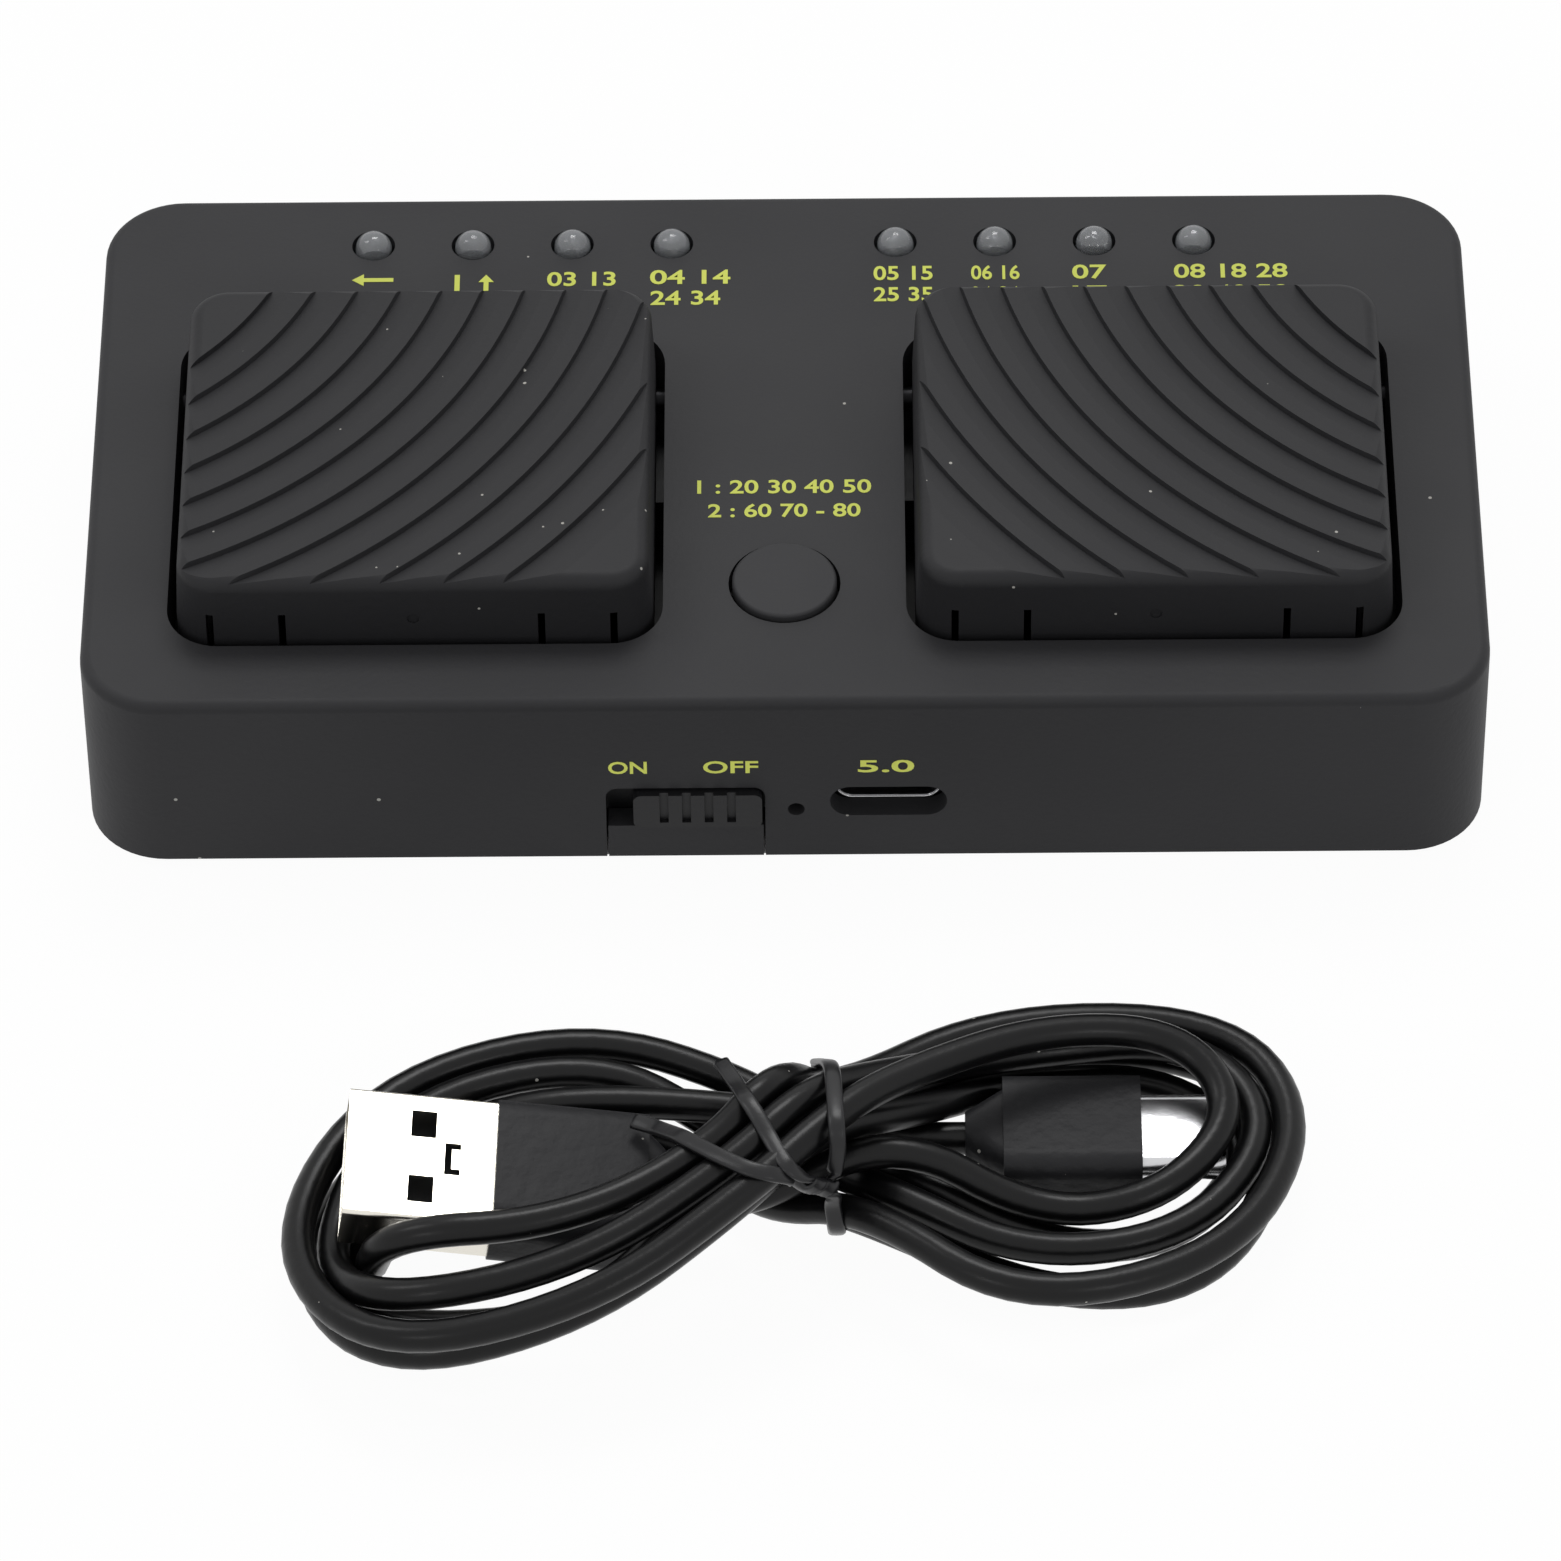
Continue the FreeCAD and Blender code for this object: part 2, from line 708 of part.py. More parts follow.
def power_slider():
    left, right = slider_knob_x()
    low = base + tab_height + knob_gap
    high = low + knob_height
    face_y = front - knob_proud
    plate_y = inner_front + slider_play
    shape = block(left, right, face_y, plate_y + slider_plate / 2, low, high)
    along = [e for e in shape.Edges if e.BoundBox.YLength > e.BoundBox.XLength + e.BoundBox.ZLength]
    shape = shape.makeFillet(knob_corner, along)
    count = int((knob_width - 2 * knob_corner) / knob_groove_pitch)
    first = (left + right) / 2 - (count - 1) / 2 * knob_groove_pitch
    for i in range(count):
        x = first + i * knob_groove_pitch
        shape = shape.cut(block(x - knob_groove / 2, x + knob_groove / 2, face_y - 1, face_y + knob_groove_depth,
                                low + knob_foot, high + 1))
    plate = block(-notch_left - slider_cover, -notch_right + slider_travel - slider_play, plate_y,
                  plate_y + slider_plate, low - slider_cover, base + notch_top + slider_cover)
    middle = (left + right) / 2
    lever_z = board_top + power_switch_height / 2
    pocket = block(middle - lever_size / 2, middle + lever_size / 2, plate_y + slider_plate / 2,
                   plate_y + 2 * slider_plate, lever_z - lever_size / 2, lever_z + lever_size / 2)
    return shape.fuse(plate).cut(pocket).removeSplitter()


def power_switch_y():
    return board_front + 0.4


def power_switch_lever():
    left, right = slider_knob_x()
    middle = (left + right) / 2
    start = inner_front + slider_play + slider_plate / 2
    lever_z = board_top + power_switch_height / 2
    half = lever_size / 2
    stem = block(middle - half, middle + half, start, power_switch_y() + 1.6, lever_z - half, lever_z + half)
    carriage = block(middle - 1.5 * half, middle + 1.5 * half, power_switch_y() + 1.0, power_switch_y() + 2.0,
                     lever_z - half, lever_z + half)
    return stem.fuse(carriage)


def power_switch_body():
    left, right = slider_knob_x()
    middle = (left + right) / 2 - slider_travel / 2
    y0 = power_switch_y()
    half = power_switch_width / 2
    shape = block(middle - half, middle + half, y0, y0 + power_switch_depth, board_top,
                  board_top + power_switch_height)
    lever_z = board_top + power_switch_height / 2
    room = 1.5 * lever_size / 2 + slider_travel / 2 + slider_play
    tall = lever_size / 2 + slider_play
    shape = shape.cut(block(middle - room, middle + room, y0 - 1, y0 + 2.0 + slider_play, lever_z - tall, lever_z + tall))
    return shape


def circuit_board():
    shape = rounded_box(-board_half, board_half, board_front, board_back, board_z, board_top, 2.0)
    for x, y in board_screw_places():
        shape = shape.cut(rod(screw_radius + 0.1, x, y, board_z - 1, board_top + 1))
    for side in (-1, 1):
        hole = spring_radius + spring_wire / 2 + 2 * seat_gap
        shape = shape.cut(rod(hole, side * pedal_x, spring_y, board_z - 1, board_top + 1))
        shape = shape.cut(switch_body(side * pedal_x, switch_y, switch_size, 1.0, 0.5))
    shape = shape.cut(switch_body(0, button_y, small_switch_size, 1.0, 0.5))
    for x in lamp_places():
        for pole in (-1, 1):
            lead = x + pole * lead_pitch / 2
            shape = shape.cut(rod(lead_size * 0.75, lead, lamp_y, board_z - 1, board_top + 1))
    return shape


def lamp(x):
    """A round indicator lamp with a domed lens, a rim and two leads."""
    tip = top + lamp_rise
    low = tip - lamp_length
    barrel = rod(lamp_radius, x, lamp_y, low, tip - lamp_radius)
    dome = Part.makeSphere(lamp_radius, FreeCAD.Vector(x, lamp_y, tip - lamp_radius))
    rim = rod(lamp_flange_radius, x, lamp_y, low, low + lamp_flange_height)
    shape = barrel.fuse([dome, rim])
    for pole in (-1, 1):
        lead = x + pole * lead_pitch / 2
        half = lead_size / 2
        shape = shape.fuse(block(lead - half, lead + half, lamp_y - half, lamp_y + half, board_z - 0.8, low + 0.2))
    return shape.removeSplitter()


def lamp_spacers():
    """Plastic sleeves that hold the lamps at the height of the case's roof."""
    inner = spacer_radius - spacer_wall
    sleeves = []
    for x in lamp_places():
        sleeve = rod(spacer_radius, x, lamp_y, board_top, top + lamp_rise - lamp_length)
        sleeves.append(sleeve.cut(rod(inner, x, lamp_y, board_top, top)))
    return Part.makeCompound(sleeves)


def charge_lamp():
    y0 = board_front + 0.3
    z = board_top
    body = block(charge_hole_x - 1.0, charge_hole_x + 1.0, y0, y0 + 1.25, z, z + 0.5)
    lens = block(charge_hole_x - 0.6, charge_hole_x + 0.6, y0, y0 + 1.25, z + 0.5, z + 0.9)
    return body.fuse(lens)


def socket_shell():
    z = board_top + socket_height / 2
    y0 = inner_front
    y1 = inner_front + socket_depth
    shape = stadium_along_y(socket_width, socket_height, socket_x, z, y0, y1)
    inside = stadium_along_y(socket_width - 2 * socket_wall, socket_height - 2 * socket_wall, socket_x, z,
                             y0 - 1, y1 - 1.2)
    return shape.cut(inside)


def socket_tongue():
    z = board_top + socket_height / 2
    y1 = inner_front + socket_depth - 1.2
    plate = block(socket_x - tongue_plate_width / 2, socket_x + tongue_plate_width / 2, inner_front + 0.9, y1,
                  z - tongue_plate_height / 2, z + tongue_plate_height / 2)
    root = stadium_along_y(socket_width - 2 * socket_wall, socket_height - 2 * socket_wall, socket_x, z,
                           y1 - 1.0, y1)
    return plate.fuse(root).removeSplitter()


def wireless_module():
    half = module_width / 2
    return block(-half, half, module_y, module_y + module_depth, board_top, board_top + module_board)


def shield_can():
    half = module_width / 2 - can_inset
    y0 = module_y + can_inset
    y1 = y0 + module_depth - 4 * can_inset
    z0 = board_top + module_board
    shape = rounded_box(-half, half, y0, y1, z0, z0 + can_height, can_wall * 2)
    shape = shape.makeFillet(can_wall, level_edges(shape, z0 + can_height))
    return shape.cut(rounded_box(-half + can_wall, half - can_wall, y0 + can_wall, y1 - can_wall, z0,
                                 z0 + can_height - can_wall, can_wall))


def charger_chip():
    x = socket_x + 2.5
    y = inner_front + socket_depth + 4.5
    half = chip_size / 2
    body = block(x - half, x + half, y - half, y + half, board_top + 0.1, board_top + 0.1 + chip_height)
    legs = []
    for side in (-1, 1):
        for i in range(4):
            ly = y - half + chip_size * (i + 0.5) / 4
            lx = x + side * (half + 0.3)
            legs.append(block(lx - 0.4, lx + 0.4, ly - 0.2, ly + 0.2, board_top, board_top + 0.3))
    return body.fuse(legs)


def battery_cell():
    half = battery_length / 2
    z0 = board_top + tape_thickness
    shape = block(-half, half, battery_front, battery_back, z0, z0 + battery_height)
    along = [e for e in shape.Edges if e.BoundBox.YLength > e.BoundBox.XLength + e.BoundBox.ZLength]
    return shape.makeFillet(battery_edge, along)


def battery_tape():
    half = battery_length / 2 - tape_inset
    return block(-half, half, battery_front + tape_inset, battery_back - tape_inset, board_top,
                 board_top + tape_thickness)


def battery_plug_place():
    """The centre of the battery's connector in X, and its front and back."""
    x = battery_length / 2 + lead_wire_bend + lead_wire + 1.0
    y1 = (battery_front + battery_back) / 2
    return x, y1 - plug_depth, y1


def battery_socket():
    x, y0, y1 = battery_plug_place()
    half = plug_width / 2
    shape = block(x - half, x + half, y0, y1, board_top, board_top + plug_height)
    return shape.cut(block(x - half + 0.8, x + half - 0.8, y0 - 1, y0 + 1.5, board_top + 1.0,
                           board_top + plug_height + 1))


def battery_wires():
    x, y0, y1 = battery_plug_place()
    z = board_top + tape_thickness + battery_height / 2
    wires = []
    for i in range(2):
        far_x = x + (i - 0.5) * lead_wire_pitch
        far_y = y1 + lead_wire_bend + 1.0 + i * lead_wire_pitch
        start = FreeCAD.Vector(battery_length / 2, far_y, z)
        turn = FreeCAD.Vector(far_x - lead_wire_bend, far_y, z)
        end = FreeCAD.Vector(far_x, far_y - lead_wire_bend, z)
        arc, radius = bend(turn, FreeCAD.Vector(1, 0, 0), end)
        edges = [Part.LineSegment(start, turn).toShape(), arc,
                 Part.LineSegment(end, FreeCAD.Vector(far_x, y1, z)).toShape()]
        wires.append(tube(edges, lead_wire / 2))
    return Part.makeCompound(wires)


def case_screws():
    screws = []
    for x, y in post_places():
        head = rod(screw_head_radius, x, y, base, base + screw_head_height)
        shank = rod(screw_radius, x, y, base, plate_z + screw_length * 0.8)
        screws.append(head.fuse(shank).cut(cross_slot(x, y, base, 1)).removeSplitter())
    return Part.makeCompound(screws)


def board_screws():
    screws = []
    for x, y in board_screw_places():
        head = rod(screw_head_radius, x, y, board_top, board_top + screw_head_height)
        shank = rod(screw_radius, x, y, plate_z, board_top)
        screws.append(head.fuse(shank).cut(cross_slot(x, y, board_top + screw_head_height, -1)).removeSplitter())
    return Part.makeCompound(screws)


def cross_slot(x, y, z, up):
    """The cross recess of a screw head, cut into it from the height z."""
    deep = screw_head_height * 0.6
    z0, z1 = min(z, z + up * deep), max(z, z + up * deep)
    long, thin = screw_head_radius * 0.6, screw_head_radius * 0.15
    return block(x - long, x + long, y - thin, y + thin, z0, z1).fuse(
        block(x - thin, x + thin, y - long, y + long, z0, z1))


def profile_along_x(x, width, height, corner):
    """A closed outline with rounded corners, square to X at x and centred on the axis."""
    y, z = width / 2, height / 2
    r = min(corner, y - 0.01, z - 0.01)
    k = r * (1 - math.sqrt(0.5))
    edges = []
    for sy, sz in ((1, 1), (-1, 1), (-1, -1), (1, -1)):
        over = FreeCAD.Vector(x, sy * (y - r), sz * z)
        beside = FreeCAD.Vector(x, sy * y, sz * (z - r))
        middle = FreeCAD.Vector(x, sy * (y - k), sz * (z - k))
        first, last = (beside, over) if sy * sz > 0 else (over, beside)
        if edges:
            edges.append(Part.LineSegment(edges[-1].Vertexes[-1].Point, first).toShape())
        edges.append(Part.Arc(first, middle, last).toShape())
    edges.append(Part.LineSegment(edges[-1].Vertexes[-1].Point, edges[0].Vertexes[0].Point).toShape())
    return Part.Wire(edges)


def bar_along_x(x0, x1, width, height, corner):
    face = Part.Face(profile_along_x(x0, width, height, corner))
    return face.extrude(FreeCAD.Vector(x1 - x0, 0, 0))


def plug_housing(width, height, length, neck):
    """A moulded grip with its strain relief, along X from the cord at 0 back to -neck - length."""
    grip = bar_along_x(-neck - length, -neck, width, height, height / 3)
    relief = Part.makeLoft([profile_along_x(-neck, width * 0.8, height * 0.85, height / 3),
                            profile_along_x(0, 2 * neck_radius, 2 * neck_radius, neck_radius)], True, True)
    return grip.fuse(relief).removeSplitter()


def plug_a_placement():
    """The first plug's place: its origin is where the cord leaves it."""
    turn = FreeCAD.Rotation(plug_a_yaw, plug_a_pitch, plug_a_roll)
    start = FreeCAD.Vector(*plug_a_end) - turn.multVec(FreeCAD.Vector(cord, 0, 0))
    return FreeCAD.Placement(start, turn)


def plug_c_placement():
    """The second plug faces the other way: its own +X axis points back along the cord."""
    turn = FreeCAD.Rotation(180, 0, 0)
    return FreeCAD.Placement(FreeCAD.Vector(*plug_c_end) + FreeCAD.Vector(cord, 0, 0), turn)


def seated(shape, placement):
    shape = shape.copy()
    shape.Placement = placement.multiply(shape.Placement)
    return shape


def usb_a_housing():
    return seated(plug_housing(housing_a_width, housing_a_height, housing_a_length, neck_a_length),
                  plug_a_placement())


def usb_a_shell():
    x1 = -neck_a_length - housing_a_length
    x0 = x1 - shell_a_length
    wide, tall = shell_a_width - 2 * shell_a_wall, shell_a_height - 2 * shell_a_wall
    shape = bar_along_x(x0, x1, shell_a_width, shell_a_height, shell_a_wall)
    shape = shape.cut(block(x0 - 1, x1 - 1, -wide / 2, wide / 2, -tall / 2, tall / 2))
    for side in (-1, 1):
        y = side * window_spread / 2
        shape = shape.cut(block(x0 + window_back, x0 + window_back + window_length, y - window_width / 2,
                                y + window_width / 2, -shell_a_height, shell_a_height))
    latch_end = x0 + latch_back + latch_length / 2
    slot = block(latch_end - latch_length, latch_end, -latch_width / 2, latch_width / 2, 0, shell_a_height)
    tongue = block(latch_end - latch_tongue_length, latch_end, -latch_tongue_width / 2, latch_tongue_width / 2,
                   0, shell_a_height)
    return seated(shape.cut(slot.cut(tongue)), plug_a_placement())


def usb_a_insert():
    x1 = -neck_a_length - housing_a_length - 1
    x0 = -neck_a_length - housing_a_length - shell_a_length + insert_a_back
    wide = shell_a_width - 2 * shell_a_wall
    low = shell_a_wall - shell_a_height / 2
    return seated(block(x0, x1, -wide / 2, wide / 2, low, low + insert_a_height), plug_a_placement())


def usb_c_housing():
    return seated(plug_housing(housing_c_width, housing_c_height, housing_c_length, neck_c_length),
                  plug_c_placement())


def usb_c_shell():
    x1 = -neck_c_length - housing_c_length
    x0 = x1 - shell_c_length
    shape = bar_along_x(x0, x1, shell_c_width, shell_c_height, shell_c_height / 2)
    shape = shape.cut(bar_along_x(x0 - 1, x1 - 1, shell_c_width - 2 * shell_c_wall,
                                  shell_c_height - 2 * shell_c_wall, shell_c_height / 2))
    return seated(shape, plug_c_placement())


def between(right, left, c):
    """A size that goes from its left value at c = -1 to its right value at c = 1."""
    return (right + left) / 2 + (right - left) / 2 * c


def hank_figure(t):
    """The figure of eight that the turns lie along, once round for t from 0 to 2 pi."""
    c = math.cos(t)
    x = waist_x + between(right_reach, left_reach, c) * c * (1 + hank_belly * (1 - c * c))
    wave = math.sin(2 * t) - hank_shoulder * math.sin(4 * t)
    y = waist_y + between(right_swell, left_swell, c) * wave + between(right_drop, left_drop, c) * c * c
    return x, y


def hank_step(t):
    """How far one turn lies outside the turn before it, eased between the eighths of the figure."""
    eighth = (t + math.pi / 2) / (math.pi / 4)
    i = math.floor(eighth)
    f = eighth - i
    ease = f * f * (3 - 2 * f)
    return turn_steps[i % 8] * (1 - ease) + turn_steps[(i + 1) % 8] * ease


def hank_plan(t):
    """A point of the winding in plan: the figure, moved sideways by the turns wound so far."""
    x, y = hank_figure(t)
    x1, y1 = hank_figure(t + 1e-4)
    x0, y0 = hank_figure(t - 1e-4)
    ahead = math.hypot(x1 - x0, y1 - y0)
    out = hank_step(t) * (t / (2 * math.pi) - middle_turn)
    return x + (y1 - y0) / ahead * out, y - (x1 - x0) / ahead * out


def hank_height(turn, eighth):
    """Odd turns lie on the floor and even ones on them; the strands cross in stacks at the waist."""
    even = turn % 2 == 0
    floor = cord / 2
    if eighth == 0:
        return floor + tie_lift + (lower_stack if even else 0)
    if eighth == 4:
        return upper_crossing + (upper_stack if even else 0)
    if turn == 0 and eighth == 3:
        return first_top
    if turn == 0 and eighth == 2:
        return first_end
    if eighth == 5:
        return floor + (layer + left_rise_even if even else left_rise_odd)
    return floor + (layer if even else 0)


def hank_route():
    """The places that the cord passes and its way at each, from one plug to the other."""
    turn_a = FreeCAD.Rotation(plug_a_yaw, plug_a_pitch, plug_a_roll)
    places = [FreeCAD.Vector(*plug_a_end), FreeCAD.Vector(*waist_a)]
    ways = [turn_a.multVec(FreeCAD.Vector(1, 0, 0)), FreeCAD.Vector(1, waist_a_slope, 0).normalize()]
    for j in range(-1, 8 * (hank_turns - 1) + 6):
        t = j * math.pi / 4
        x, y = hank_plan(t)
        x1, y1 = hank_plan(t + 1e-3)
        x0, y0 = hank_plan(t - 1e-3)
        places.append(FreeCAD.Vector(x, y, hank_height((j + 2) // 8, (j + 2) % 8)))
        ways.append(FreeCAD.Vector(x1 - x0, y1 - y0, 0).normalize())
    places += [FreeCAD.Vector(*waist_c), FreeCAD.Vector(*plug_c_end)]
    ways += [FreeCAD.Vector(1, waist_c_slope, 0).normalize(), FreeCAD.Vector(1, 0, 0)]
    return places, ways


def hank_edges():
    """The cord's centre line: arcs, with a straight run of one diameter at each plug."""
    places, ways = hank_route()
    edges, radii = biarcs(places, ways)
    start = Part.LineSegment(places[0] - ways[0] * cord, places[0]).toShape()
    end = Part.LineSegment(places[-1], places[-1] + ways[-1] * cord).toShape()
    return [start] + edges + [end], radii


def least_gap(edges, step):
    """The least gap between stretches of the cord that lie more than three diameters apart along it."""
    points = []
    along = 0
    for edge in edges:
        count = max(1, math.ceil(edge.Length / step))
        for i in range(count):
            p = edge.valueAt(edge.FirstParameter + (edge.LastParameter - edge.FirstParameter) * i / count)
            points.append((p.x, p.y, p.z, along + edge.Length * i / count))
        along += edge.Length
    cells = {}
    for p in points:
        cells.setdefault((p[0] // 4, p[1] // 4, p[2] // 4), []).append(p)
    least = 1e9
    near = [(i, j, k) for i in (-1, 0, 1) for j in (-1, 0, 1) for k in (-1, 0, 1)]
    for (i, j, k), inside in cells.items():
        around = [q for a, b, c in near for q in cells.get((i + a, j + b, k + c), [])]
        for p in inside:
            for q in around:
                if q[3] - p[3] > 3 * cord:
                    least = min(least, math.dist(p[:3], q[:3]))
    return least - cord


def charging_cable():
    edges, radii = hank_edges()
    shape = tube(edges, cord / 2)
    length = sum(e.Length for e in edges)
    print("cord: length", round(length, 1), "least radius", round(min(radii), 2),
          "least gap to itself", round(least_gap(edges, 0.5), 3),
          "volume", round(shape.Volume, 1), "section times length", round(math.pi * cord * cord / 4 * length, 1))
    print("cord radii:", " ".join("%.1f" % r for r in radii))
    return shape


def ribbon(points, width, thickness):
    """A flat strip that passes the points, its face up."""
    rings = []
    for i, point in enumerate(points):
        before = FreeCAD.Vector(*points[max(i - 1, 0)])
        after = FreeCAD.Vector(*points[min(i + 1, len(points) - 1)])
        side = (after - before).cross(FreeCAD.Vector(0, 0, 1)).normalize() * (width / 2)
        up = side.cross(after - before).normalize() * (thickness / 2)
        at = FreeCAD.Vector(*point)
        rings.append(Part.makePolygon([at - side - up, at + side - up, at + side + up, at - side + up,
                                       at - side - up]))
    return Part.makeLoft(rings, True, False)


def twist_tie():
    """A flat plastic-covered wire round the waist, its two ends twisted together in front and left long."""
    middle = FreeCAD.Vector(tie_x, (tie_front + tie_back) / 2, (tie_low + tie_thickness + tie_top) / 2)
    deep = tie_back - tie_front
    tall = tie_top - tie_low - tie_thickness
    band = bar_along_x(-tie_width / 2, tie_width / 2, deep + 2 * tie_thickness, tall + 2 * tie_thickness,
                       tie_corner + tie_thickness)
    band = band.cut(bar_along_x(-tie_width, tie_width, deep, tall, tie_corner))
    band.translate(middle)
    knot = Part.makeSphere(tie_knot, FreeCAD.Vector(*tie_tail_left[0]))
    tails = [ribbon(points, tie_width * 0.8, tie_thickness) for points in (tie_tail_back, tie_tail_left)]
    return band.fuse([knot] + tails).removeSplitter()


def export(name, shape):
    if shape.ShapeType == "Compound" and len(shape.Solids) == 1:
        shape = shape.Solids[0]
    if not shape.isValid() or not shape.Solids:
        raise RuntimeError(name + " is not a valid solid")
    shape.exportStep("parts/" + name + ".step")
    print(name, len(shape.Solids), round(shape.Volume, 2))


def main():
    os.makedirs("parts", exist_ok=True)
    export("upper_case", upper_case())
    export("lower_case", lower_case())
    export("rubber_feet", rubber_feet())
    for side, name in ((-1, "left"), (1, "right")):
        export(name + "_pedal", pedal(side))
        export(name + "_pivot_pin", pivot_pin(side))
        export(name + "_return_spring", return_spring(side))
        export(name + "_switch_body", pedal_switch_body(side))
        export(name + "_switch_plunger", pedal_switch_plunger(side))
    export("mode_button", mode_button())
    export("mode_switch_body", mode_switch_body())
    export("mode_switch_plunger", mode_switch_plunger())
    export("power_slider", power_slider())
    export("power_switch_lever", power_switch_lever())
    export("power_switch_body", power_switch_body())
    export("circuit_board", circuit_board())
    for i, x in enumerate(lamp_places()):
        export("lamp_%d" % (i + 1), lamp(x))
    export("lamp_spacers", lamp_spacers())
    export("charge_lamp", charge_lamp())
    export("usb_socket_shell", socket_shell())
    export("usb_socket_tongue", socket_tongue())
    export("wireless_module", wireless_module())
    export("shield_can", shield_can())
    export("charger_chip", charger_chip())
    export("battery_cell", battery_cell())
    export("battery_tape", battery_tape())
    export("battery_socket", battery_socket())
    export("battery_wires", battery_wires())
    export("case_screws", case_screws())
    export("board_screws", board_screws())
    export("charging_cable", charging_cable())
    export("usb_a_shell", usb_a_shell())
    export("usb_a_insert", usb_a_insert())
    export("usb_a_housing", usb_a_housing())
    export("usb_c_shell", usb_c_shell())
    export("usb_c_housing", usb_c_housing())
    export("twist_tie", twist_tie())


main()
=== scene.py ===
import json
import math

import bpy
import numpy as np
from mathutils import Matrix, Vector

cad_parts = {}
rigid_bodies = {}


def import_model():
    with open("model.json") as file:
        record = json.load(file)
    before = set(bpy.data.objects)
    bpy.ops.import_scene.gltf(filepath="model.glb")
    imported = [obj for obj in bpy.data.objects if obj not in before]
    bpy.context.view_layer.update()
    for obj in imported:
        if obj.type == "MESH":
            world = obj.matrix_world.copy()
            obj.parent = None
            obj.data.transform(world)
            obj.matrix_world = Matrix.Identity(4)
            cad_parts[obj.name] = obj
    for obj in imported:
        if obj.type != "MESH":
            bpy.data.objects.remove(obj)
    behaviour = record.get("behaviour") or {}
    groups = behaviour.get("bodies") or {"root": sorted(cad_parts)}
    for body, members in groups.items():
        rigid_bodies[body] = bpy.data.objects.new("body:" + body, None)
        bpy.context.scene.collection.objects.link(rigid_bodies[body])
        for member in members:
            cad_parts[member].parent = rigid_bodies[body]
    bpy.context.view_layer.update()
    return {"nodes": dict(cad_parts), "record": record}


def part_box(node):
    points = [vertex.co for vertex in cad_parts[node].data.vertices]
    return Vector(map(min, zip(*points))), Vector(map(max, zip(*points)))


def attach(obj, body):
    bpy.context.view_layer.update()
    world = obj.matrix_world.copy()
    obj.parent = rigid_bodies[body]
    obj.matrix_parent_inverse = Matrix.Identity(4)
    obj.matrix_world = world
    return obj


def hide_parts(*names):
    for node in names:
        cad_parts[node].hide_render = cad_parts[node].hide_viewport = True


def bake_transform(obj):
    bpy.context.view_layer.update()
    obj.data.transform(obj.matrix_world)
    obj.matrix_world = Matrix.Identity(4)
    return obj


scene = bpy.context.scene
for thing in list(scene.objects):
    bpy.data.objects.remove(thing)
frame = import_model()
mm = 0.001


def unit(vectors):
    return vectors / np.linalg.norm(vectors, axis=-1, keepdims=True)


def lengthAlong(points):
    # the length from the first point to each of them
    return np.concatenate([[0], np.cumsum(np.linalg.norm(np.diff(points, axis=0), axis=1))])


def tubeFaces(rings, sides, closed=False, flipped=False):
    # the faces of a tube whose points run ring by ring, with an end at each side unless it is closed
    i, j = np.meshgrid(np.arange(rings if closed else rings - 1), np.arange(sides), indexing="ij")
    after, beside = (i + 1) % rings, (j + 1) % sides
    corners = [i * sides + j, i * sides + beside, after * sides + beside, after * sides + j]
    faces = [tuple(face) for face in np.stack(corners, -1).reshape(-1, 4).tolist()]
    if not closed:
        faces += [tuple(range(sides))[::-1], tuple(range((rings - 1) * sides, rings * sides))]
    return [face[:1] + face[:0:-1] for face in faces] if flipped else faces


# Camera, at the photograph's viewing angle: place in millimetres from the frame's origin

cameraView = {
    "place": (3.44, -591.31, 592.91),
    "right": (0.999964, -0.001741, -0.008302),
    "up": (0.007011, 0.720589, 0.693327),
    "focal": 228.53,
    "sensor": 36.0,
    "clip": (0.05, 10),
}


def makeCamera():
    right = Vector(cameraView["right"])
    up = Vector(cameraView["up"])
    back = right.cross(up)
    turn = Matrix((right, up, back)).transposed().to_4x4()
    data = bpy.data.cameras.new("camera")
    data.lens = cameraView["focal"]
    data.sensor_width = cameraView["sensor"]
    data.clip_start, data.clip_end = cameraView["clip"]
    camera = bpy.data.objects.new("camera", data)
    camera.matrix_world = Matrix.Translation(Vector(cameraView["place"]) * mm) @ turn
    scene.collection.objects.link(camera)
    scene.camera = camera


makeCamera()
print("camera made")


# Charging cable: a figure of eight wound in several turns, in millimetres until it is placed.
# A turn runs in eighths: 0 and 4 are the crossing, 2 is the right lobe's end and 6 the left one's.
# Pairs are for the right and left lobe, or for even and odd turns. Shifts are by turn and eighth.

